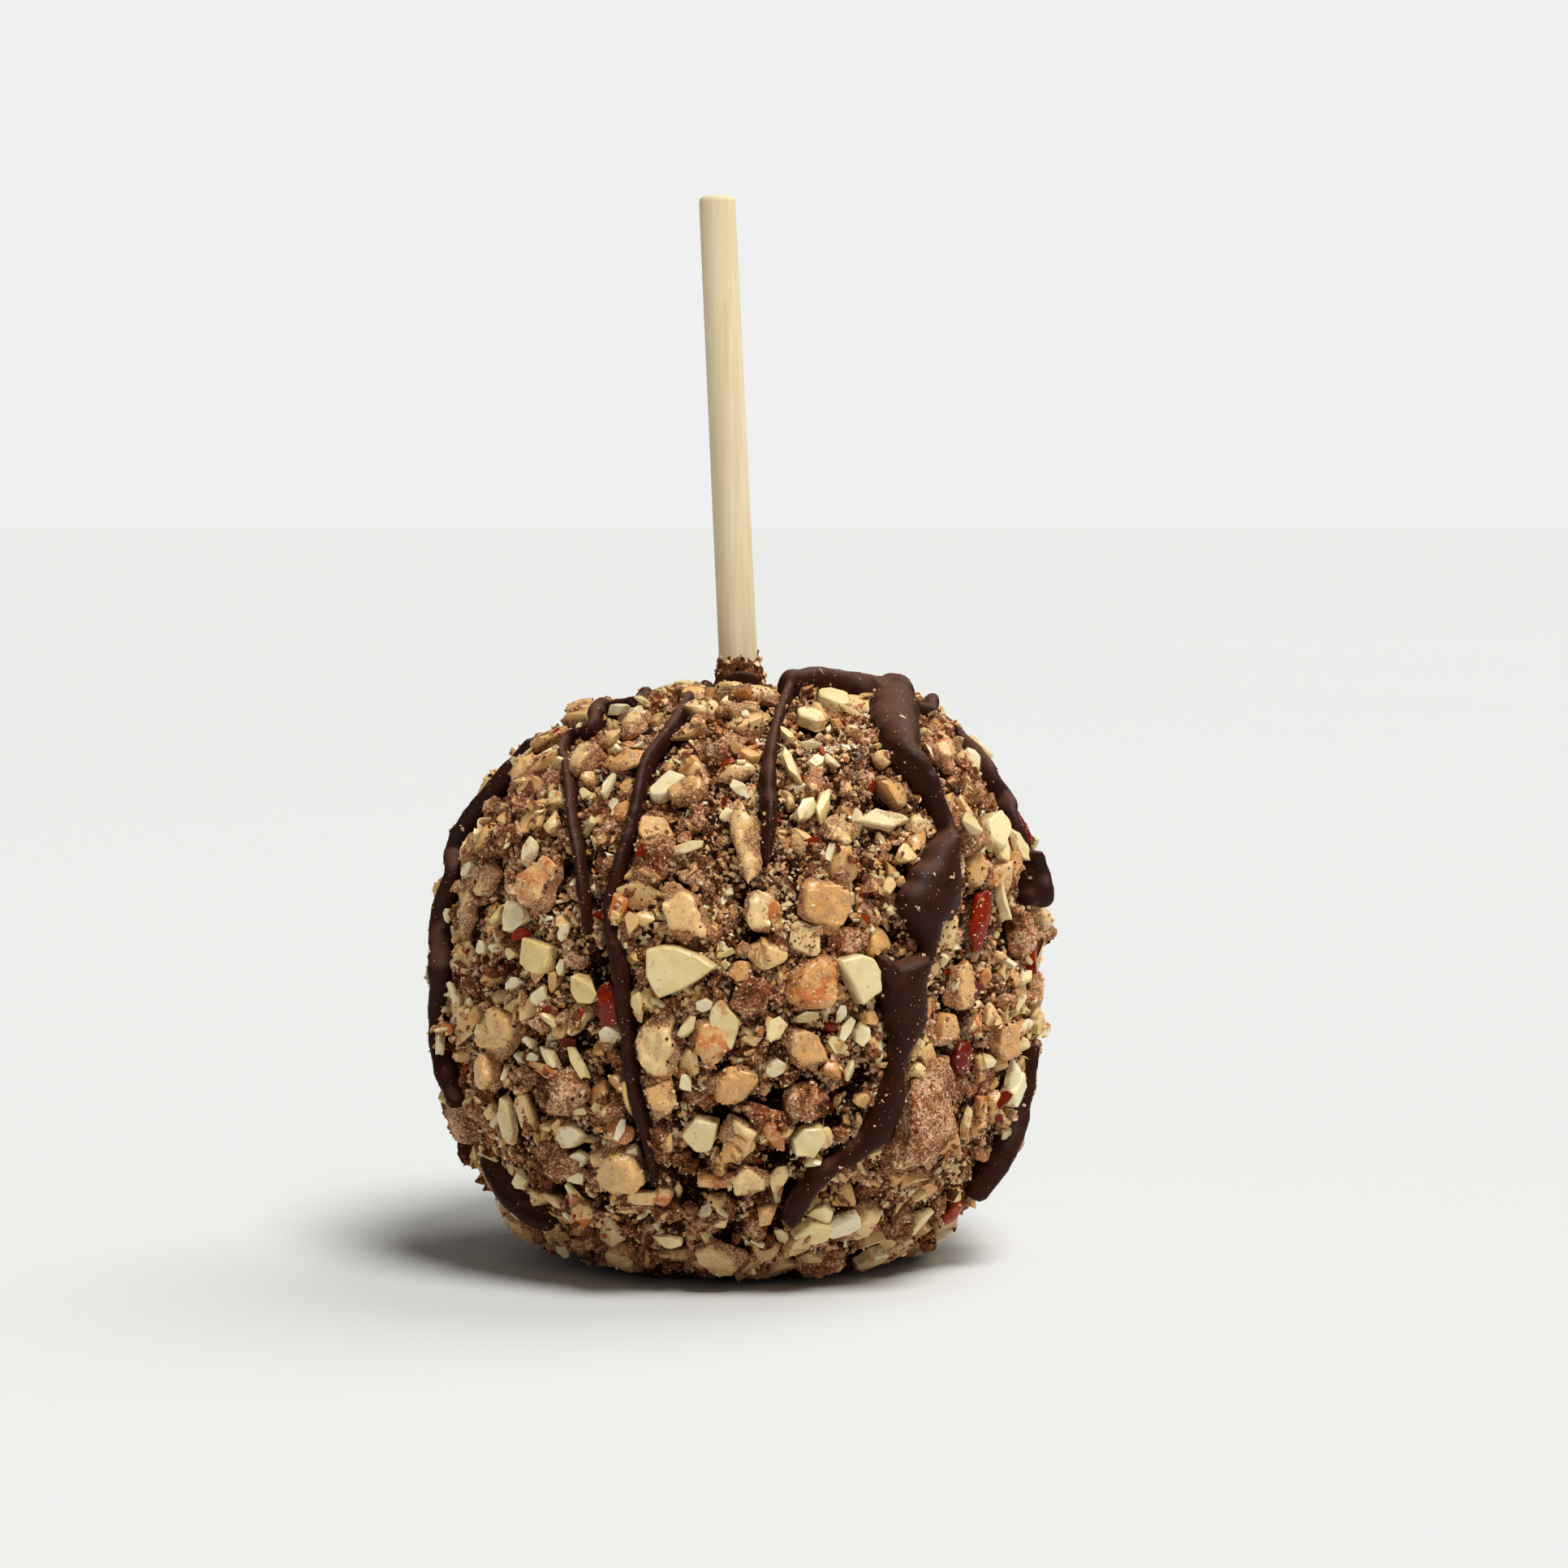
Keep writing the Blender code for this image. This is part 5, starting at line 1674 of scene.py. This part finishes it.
def packed_places(draw):
    """Chunks side by side over the coating: (kind, place, length), largest first."""
    taken = [(item[1], max(item[3][:2])) for item in State.plan]
    taken += [(seen_from_front(chip[1], chip[2]), 0.8 * chip[3]) for chip in FRONT_CHIPS]
    taken += [(place, 0.8 * reach / CHUNK_SPACING) for place, reach in all_seen(FRONT_FIELDS)]
    for turns in State.turns:
        taken += route_at(turns, STRAND_STEP / 3)
    spots = np.array([tuple(place) for place, _ in taken])
    lengths = np.array([length for _, length in taken])
    sizes = []
    for kind, count, shortest, longest in CHUNKS:
        grow = longest - shortest
        sizes += [(shortest + grow * draw.random() ** 1.5, kind) for _ in range(count)]
    sizes.sort(reverse=True)
    found = []
    for length, kind in sizes:
        for _ in range(CHUNK_TRIES):
            outward = any_direction(draw)
            place = coating_point(outward)
            if place.z < 1.0 or draw.random() > 0.25 + cluster_share(place, kind):
                continue
            if outward.z > 0 and math.hypot(place.x, place.y) < 6.0:
                continue
            if hollow_share(place) > draw.uniform(0.1, 0.8):
                continue
            gaps = np.linalg.norm(spots - np.array(place), axis=1)
            if np.all(gaps > CHUNK_SPACING * (lengths + length)):
                spots = np.vstack([spots, np.array(place)])
                lengths = np.append(lengths, length)
                found.append((kind, place, length))
                break
    return found


def chunk_grains(places, kind, draw, rise):
    """Chunks of one kind, sunk so far that their tops rise by this much."""
    grains = []
    for chunk, place, length in places:
        if chunk != kind:
            continue
        normal = coating_normal(place)
        size = Vector((length, length * draw.uniform(0.62, 0.9), 2.4 + 0.25 * length))
        axes = lay_axes(normal, draw, 0.28)
        top = rise + draw.uniform(-0.35, 0.45) + 0.06 * length
        centre = place + normal * (top - size.z / 2)
        centre.z = max(centre.z, size.x * 0.62)
        grains.append((centre, axes, size, float(draw.random() < 0.16)))
    return grains


def scatter(
    allowed, count, sizes, draw, slim=0.6, flat=0.7, sunk=0.2, tilt=0.5,
    clumping=0.0, stray=0.0, flanks=0.0, cluster=None,
):
    """Grains by chance over the coating, where an allowed piece is on top.

    Clumping keeps them to the thick crumb, and a cluster to the areas of one kind. Stray is
    the share that may lie on other pieces, and flanks lets more lie on the sides of those.
    """
    grains = []
    low, high = sizes
    for _ in range(count * SCATTER_TRIES_EACH):
        if len(grains) == count:
            break
        place = coating_point(any_direction(draw))
        if place.z < 0.2 or place.z < draw.uniform(0.0, 3.4):
            continue
        if draw.random() > 1 - clumping * (1 - clump_share(place)):
            continue
        if cluster and draw.random() > cluster_share(place, cluster):
            continue
        if draw.random() < 0.92 * hollow_share(place):
            continue
        normal = coating_normal(place)
        found = top_of(State.trees, place, normal)
        if found is None:
            continue
        name, spot, facing, _ = found
        bare = name in BARE_PIECES
        shrink = STRAY_SIZE if bare else 1.0
        if name not in allowed:
            slope = max(0.0, 0.8 - max(0.0, facing.dot(normal)))
            share = stray + 1.6 * flanks * slope
            if draw.random() > (0.12 * share if bare else share):
                continue
            shrink = STRAY_SIZE
        elif bare and draw.random() > 0.18:
            continue
        length = (low + (high - low) * draw.random() ** 1.8) * shrink
        width = length * draw.uniform(slim, min(1.0, slim + 0.35))
        size = Vector((length, width, width * draw.uniform(0.8, 1.1) * flat))
        axes = lay_axes(facing, draw, tilt)
        centre = spot + facing * size.z * (0.5 - sunk)
        if centre.z >= size.x * 0.5:
            grains.append((centre, axes, size, float(draw.random() < 0.15)))
    return grains


def make_scattered(rows, placed, seed, clean=False):
    """Makes one piece of each row, from the grains placed one by one and by chance."""
    draw = random.Random(seed)
    generator = np.random.default_rng(seed)
    for name, kind, shape, ground, count, sizes, ways in rows:
        allowed = ground or tuple(State.trees)
        grains = placed.get(name, []) + scatter(allowed, count, sizes, draw, **ways)
        made = copies_mesh(name, grain_shapes(shape), grains, generator, clean)
        finish_piece(made, State.looks[kind], smooth=False)


# ---- Operators ----


class State:
    """What the operators hand on to one another."""

    plan = []
    turns = []
    trees = {}
    hollows = None
    looks = {}
    shapes = {}


class CARAMELAPPLE_OT_coating(bpy.types.Operator):
    """Make the rough coating that carries every crumb, and its cocoa lumps"""

    bl_idname = "caramelapple.coating"
    bl_label = "Coating and cocoa lumps"

    def execute(self, context):
        State.turns = strand_turns()
        State.plan = piece_plan([route_at(turns, STRAND_STEP) for turns in State.turns])
        State.hollows = make_hollows()
        ball = cube_sphere("coating", COAT_CUTS)
        shape_coating(ball)
        finish_piece(ball, crumb_material("Coating", gaps=True))
        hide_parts("coated_apple")
        lumps, seats = lumps_of(COCOA, State.plan, "cocoa_lumps", cuts=5, buds=0.62, swell=1.12)
        remesh(lumps, settings().coating.voxel, 1)
        roughen(lumps, "lump crags", 1.3 * MM, 2.6 * MM)
        roughen(lumps, "lump grit", 0.5 * MM, 0.7 * MM)
        tint_by_piece(lumps, seats)
        # Painted shade: the lumps are marked darker where they lie in a hollow.
        deep = [hollow_share(Vector(place) / MM) for place in coordinates(lumps.data)]
        add_value(lumps.data, "gap", deep)
        State.looks[COCOA] = crumb_material("Cocoa crust", crust=True)
        finish_piece(lumps, State.looks[COCOA])
        State.trees = {"coating": tree_of(ball), "cocoa": tree_of(lumps)}
        return {"FINISHED"}


class CARAMELAPPLE_OT_toffee(bpy.types.Operator):
    """Make the toffee lumps"""

    bl_idname = "caramelapple.toffee"
    bl_label = "Toffee lumps"

    def execute(self, context):
        ways = {"cuts": 7, "buds": 0.5, "level": (0.46, 0.64), "swell": 1.2}
        lumps, seats = lumps_of(TOFFEE, State.plan, "toffee_lumps", **ways)
        remesh(lumps, settings().toffee.voxel, 1)
        roughen(lumps, "toffee bends", 1.5 * MM, 3.0 * MM, "RGB_TO_XYZ")
        roughen(lumps, "toffee dents", 0.25 * MM, 1.6 * MM)
        roughen(lumps, "toffee pits", 0.24 * MM, 0.5 * MM)
        rest_on_floor(lumps)
        mark_pieces(lumps, seats, seed=5, toasted=0.14, low=0.2, high=2.0)
        State.looks[TOFFEE] = toffee_material("Toffee")
        finish_piece(lumps, State.looks[TOFFEE])
        State.trees["toffee"] = tree_of(lumps)
        return {"FINISHED"}


class CARAMELAPPLE_OT_almonds(bpy.types.Operator):
    """Make the large almond pieces and the almond skins"""

    bl_idname = "caramelapple.almonds"
    bl_label = "Almond pieces and skins"

    def execute(self, context):
        pieces, seats = almond_slices(State.plan, "almond_pieces")
        rounding = settings().almond.rounding
        apply_modifier(pieces, "BEVEL", width=rounding, segments=1, limit_method="ANGLE")
        apply_modifier(pieces, "TRIANGULATE")
        apply_modifier(pieces, "SUBSURF", levels=2, render_levels=2, subdivision_type="SIMPLE")
        roughen(pieces, "almond unevenness", 0.4 * MM, 1.8 * MM)
        mark_pieces(pieces, seats, seed=8, toasted=0.2, low=0.1, high=1.4)
        State.looks[ALMOND] = almond_material("Almond")
        finish_piece(pieces, State.looks[ALMOND], smooth=False)
        round_by_angle(pieces, 32)
        skins, seats = lumps_of(SKIN, State.plan, "almond_skins", swell=1.3)
        remesh(skins, 0.3 * MM, 8)
        roughen(skins, "skin folds", 0.6 * MM, 1.6 * MM)
        tint_by_piece(skins, seats)
        State.looks[SKIN] = skin_material("Almond skin")
        finish_piece(skins, State.looks[SKIN])
        State.trees["almond"] = tree_of(pieces)
        State.trees["skin"] = tree_of(skins)
        return {"FINISHED"}


class CARAMELAPPLE_OT_drizzle(bpy.types.Operator):
    """Make the strands of dark chocolate"""

    bl_idname = "caramelapple.drizzle"
    bl_label = "Chocolate drizzle"

    def execute(self, context):
        strands = [(turns, 0.0) for turns in State.turns]
        for number, lift, detail in STRAND_DETAILS:
            if number is None:
                strands.append((all_seen(detail), lift))
            else:
                strands[number] = (all_seen(detail), lift)
        tubes, passed = [], []
        for turns, lift in strands:
            route = route_at(turns, FINE_STRAND_STEP)
            passed += route
            lifted = [(spot + coating_normal(spot) * lift, width) for spot, width in route]
            tubes.append(self.tube(lifted))
        tubes.append(self.tube(self.cuff_route()))
        drizzle = join(tubes, "chocolate_drizzle")
        remesh(drizzle, settings().drizzle.voxel, 10)
        self.mark_thick(drizzle, passed)
        apply_modifier(drizzle, "SMOOTH", factor=0.5, iterations=40, vertex_group="thick")
        finish_piece(drizzle, chocolate_material("Dark chocolate"))
        State.trees["drizzle"] = tree_of(drizzle)
        return {"FINISHED"}

    def mark_thick(self, drizzle, route):
        """Marks where the strands are thick enough to be smoothed further."""
        tree = tree_among([place for place, _ in route])
        group = drizzle.vertex_groups.new(name="thick")
        for vertex in drizzle.data.vertices:
            _, index, _ = tree.find(vertex.co / MM)
            share = (route[index][1] - THICK_STRAND) / THICKER_BY
            if share > 0:
                group.add([vertex.index], min(share, 1.0), "REPLACE")

    def cuff_route(self):
        """A short strand across the front of the cuff."""
        route = []
        centre = stick_frame()
        for index in range(CUFF_STRAND_POINTS):
            angle = math.radians(CUFF_STRAND_START + index * CUFF_STRAND_STEP)
            height = CUFF_STRAND_HEIGHT + 0.9 * math.sin(index * 0.27)
            reach = CUFF_STRAND_REACH
            lift = Vector((reach * math.cos(angle), reach * math.sin(angle), 0))
            axis = centre @ Vector((0, 0, height * MM - centre.translation.z))
            route.append((axis / MM + lift, 1.2 + 0.15 * math.sin(index)))
        return route

    def tube(self, route):
        """A strand along the route: flat below, as high as its rise on the coating."""
        curve = bpy.data.curves.new("strand", "CURVE")
        curve.dimensions = "3D"
        curve.bevel_depth = MM
        curve.bevel_resolution = 4
        curve.use_fill_caps = True
        spots = []
        for place, width in route:
            width *= 1.0 + 0.28 * noise.noise(place * 0.5)
            rise = min(max(width * STRAND_RISE_SHARE, STRAND_LOWEST_RISE), STRAND_HIGHEST_RISE)
            spots.append((place, width / 2, (1.12 * rise + 0.35) / (width / 2)))
        for (end, radius, rise), (inner, _, _) in ((spots[0], spots[1]), (spots[-1], spots[-2])):
            outward = (end - inner).normalized() * radius
            for part in STRAND_TIP:
                tip = (end + outward * part, radius * math.sqrt(1 - part * part), rise)
                spots.insert(0, tip) if end == route[0][0] else spots.append(tip)
        spline = curve.splines.new("POLY")
        spline.points.add(len(spots) - 1)
        for point, (place, radius, _) in zip(spline.points, spots):
            point.co = (*(place * MM), 1)
            point.radius = radius
        tree = tree_among([place for place, _, _ in spots])
        activate(new_object("strand", curve))
        bpy.ops.object.convert(target="MESH")
        tube = bpy.context.object
        for vertex in tube.data.vertices:
            place, index, _ = tree.find(vertex.co / MM)
            normal = coating_normal(place)
            offset = vertex.co / MM - place
            height = offset.dot(normal)
            vertex.co = (vertex.co / MM + normal * height * (spots[index][2] - 1)) * MM
        return tube


class CARAMELAPPLE_OT_stick(bpy.types.Operator):
    """Make the wooden stick and the cuff of coating round it"""

    bl_idname = "caramelapple.stick"
    bl_label = "Wooden stick and cuff"

    def execute(self, context):
        self.make_cuff()
        bpy.ops.mesh.primitive_cone_add(
            vertices=settings().stick.sides, radius1=STICK_FOOT_RADIUS * MM,
            radius2=STICK_TOP_RADIUS * MM, depth=STICK_LENGTH * MM,
        )
        stick = bpy.context.object
        stick.name = "wooden_stick"
        ways = {"limit_method": "ANGLE", "angle_limit": math.radians(60), "segments": 6}
        apply_modifier(stick, "BEVEL", width=STICK_ROUNDING * MM, **ways)
        stick.matrix_world = stick_frame()
        settle(stick)
        finish_piece(stick, wood_material("Wood"))
        round_by_angle(stick, 40)
        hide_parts("stick")
        return {"FINISHED"}

    def make_cuff(self):
        """The crumbled coating that climbs the stick."""
        bpy.ops.mesh.primitive_cone_add(
            vertices=32, radius1=0.88 * CUFF_FOOT_RADIUS * MM,
            radius2=0.84 * CUFF_TOP_RADIUS * MM, depth=CUFF_HEIGHT * MM,
        )
        cuff = bpy.context.object
        cuff.name = "stick_cuff"
        along = (CUFF_FOOT_HEIGHT + CUFF_HEIGHT / 2) * MM - stick_frame().translation.z
        cuff.matrix_world = stick_frame() @ Matrix.Translation((0, 0, along))
        settle(cuff)
        remesh(cuff, 0.3 * MM)
        roughen(cuff, "cuff crags", 1.3 * MM, 1.7 * MM)
        tint_by_piece(cuff, [Vector((0, 0, 84))])
        finish_piece(cuff, crumb_material("Cuff", crust=True, darker=0.1))
        State.trees["cuff"] = tree_of(cuff)


class CARAMELAPPLE_OT_chunks(bpy.types.Operator):
    """Pack the middle-sized toffee and cocoa chunks between the large pieces"""

    bl_idname = "caramelapple.chunks"
    bl_label = "Chunks"

    def execute(self, context):
        draw = random.Random(CHUNK_SEED)
        generator = np.random.default_rng(CHUNK_SEED)
        places = packed_places(draw)
        crumbly = [chunk_shape(FIRST_CHUNK_SEED + number) for number in range(CHUNK_SHAPES)]
        for kind, name, rise, shapes in (
            (COCOA, "cocoa_chunks", 0.1, crumbly),
            (TOFFEE, "toffee_chunks", 0.3, grain_shapes("shard")),
        ):
            grains = front_chips(kind) + chunk_grains(places, kind, draw, rise)
            made = copies_mesh(name, shapes, grains, generator)
            finish_piece(made, State.looks[kind])
            round_by_angle(made, 38)
            State.trees[name] = tree_of(made)
        return {"FINISHED"}


class CARAMELAPPLE_OT_chips(bpy.types.Operator):
    """Scatter the almond chips, skin flakes and bits of toffee"""

    bl_idname = "caramelapple.chips"
    bl_label = "Chips, flakes and bits"

    def execute(self, context):
        placed = {"almond_chips": front_chips(ALMOND), "skin_flakes": front_chips(SKIN)}
        make_scattered(CHIPS, placed, CHIP_SEED)
        return {"FINISHED"}


def front_chips(kind):
    """The smaller pieces of one kind that are placed one by one."""
    grains = []
    draw = random.Random(FRONT_CHIP_SEED)
    for chip, right, up, length, width, turn in FRONT_CHIPS:
        toast = 6.0 if chip == TOASTED else float(chip == ALMOND and draw.random() < 0.25)
        if (TOFFEE if chip == TOASTED else chip) != kind:
            continue
        place = seen_from_front(right, up)
        axes = piece_axes(place, turn)
        thickness = width * (0.5 if kind == ALMOND else 0.7) + 0.6
        centre = place + axes[2] * (0.55 + 0.08 * length - thickness * 0.28)
        grains.append((centre, axes, Vector((length * 1.1, width * 1.1, thickness)), toast))
    return grains


class CARAMELAPPLE_OT_crumbs(bpy.types.Operator):
    """Scatter the fine crumbs and the dust"""

    bl_idname = "caramelapple.crumbs"
    bl_label = "Crumbs and dust"

    def execute(self, context):
        State.looks[DUST] = dust_material("Pale dust")
        State.looks[GRIT] = crumb_material("Loose cocoa crumb", loose=True)
        make_scattered(CRUMBS, {"pale_dust": granules()}, CRUMB_SEED, clean=True)
        return {"FINISHED"}


def granules():
    """The pale granules that stick to the thickest strand."""
    grains = []
    draw = random.Random(GRANULE_SEED)
    for right, up, length in GRANULES:
        place = seen_from_front(right, up)
        _, spot, facing, _ = top_of(State.trees, place, coating_normal(place))
        for _ in range(6):
            axes = lay_axes(facing, draw, 0.9)
            grow = length * draw.uniform(0.2, 0.5)
            place = spot + axes[0] * length * draw.uniform(-0.5, 0.5) + facing * grow * 0.25
            grains.append((place, axes, Vector((grow, grow * 0.8, grow * 0.7)), 0.0))
    return grains


class CARAMELAPPLE_OT_stage(bpy.types.Operator):
    """Set the pale floor, the soft light and the camera"""

    bl_idname = "caramelapple.stage"
    bl_label = "Floor, light and camera"

    def execute(self, context):
        self.make_floor()
        self.make_lights()
        self.make_camera()
        return {"FINISHED"}

    def make_floor(self):
        """A wide floor cut from a round plate, its rim far out of sight."""
        bpy.ops.mesh.primitive_circle_add(vertices=96, radius=FLOOR_RADIUS, fill_type="NGON")
        floor = bpy.context.object
        floor.name = "floor"
        start_edit(floor)
        bpy.ops.mesh.inset(thickness=FLOOR_RIM)
        end_edit()
        floor.data.materials.append(floor_material("Floor"))

    def make_lights(self):
        """Two soft lights, and an even light from all round."""
        stage = settings().stage
        for name, share, angle, towards in LIGHTS:
            light = bpy.data.lights.new(name, "SUN")
            light.angle = math.radians(angle)
            light.energy = share * stage.key_strength
            turn = Vector(towards).to_track_quat("Z", "Y")
            new_object(name, light).rotation_euler = turn.to_euler()
        world = bpy.data.worlds.new("Surroundings")
        world.use_nodes = True
        tree = world.node_tree
        shade = tree.nodes["Background"]
        seen = add_node(tree, "ShaderNodeLightPath").outputs["Is Camera Ray"]
        strength = spread(tree, seen, 0.0, 1.0, stage.world_strength, 1.0)
        set_surface(tree, shade, Color=SURROUNDINGS, Strength=strength)
        bpy.context.scene.world = world
        bpy.context.scene.view_settings.view_transform = "Standard"
        bpy.context.scene.view_settings.look = "None"

    def make_camera(self):
        """The camera, where the front is seen from."""
        camera = bpy.data.cameras.new("camera")
        camera.lens = settings().stage.lens
        camera.sensor_width = 36.0
        camera.clip_start = 0.01
        holder = new_object("camera", camera)
        holder.location = EYE * MM
        aim = Vector((EYE.x * MM, 0, AIM_HEIGHT))
        holder.rotation_euler = (aim - holder.location).to_track_quat("-Z", "Y").to_euler()
        bpy.context.scene.camera = holder


class CARAMELAPPLE_PT_panel(bpy.types.Panel):
    """The steps of the caramel apple, in the sidebar"""

    bl_idname = "CARAMELAPPLE_PT_panel"
    bl_label = "Caramel apple"
    bl_space_type = "VIEW_3D"
    bl_region_type = "UI"
    bl_category = "Caramel apple"

    def draw(self, context):
        for operator in OPERATORS:
            self.layout.operator(operator.bl_idname)
        for group in ("coating", "toffee", "almond", "drizzle", "stick", "stage"):
            values = getattr(context.scene.caramel_apple, group)
            for name in values.bl_rna.properties.keys():
                if name not in ("rna_type", "name"):
                    self.layout.prop(values, name)


OPERATORS = (
    CARAMELAPPLE_OT_coating, CARAMELAPPLE_OT_toffee, CARAMELAPPLE_OT_almonds,
    CARAMELAPPLE_OT_drizzle, CARAMELAPPLE_OT_stick, CARAMELAPPLE_OT_chunks,
    CARAMELAPPLE_OT_chips, CARAMELAPPLE_OT_crumbs, CARAMELAPPLE_OT_stage,
)
CLASSES = (
    CoatingSettings, ToffeeSettings, AlmondSettings, DrizzleSettings, StickSettings,
    StageSettings, CaramelAppleSettings, *OPERATORS, CARAMELAPPLE_PT_panel,
)


def register():
    for item in CLASSES:
        bpy.utils.register_class(item)
    bpy.types.Scene.caramel_apple = bpy.props.PointerProperty(type=CaramelAppleSettings)


def unregister():
    del bpy.types.Scene.caramel_apple
    for item in reversed(CLASSES):
        bpy.utils.unregister_class(item)


def main():
    register()
    for operator in OPERATORS:
        group, name = operator.bl_idname.split(".")
        getattr(getattr(bpy.ops, group), name)()
    bpy.context.view_layer.update()


if __name__ == "__main__":
    main()
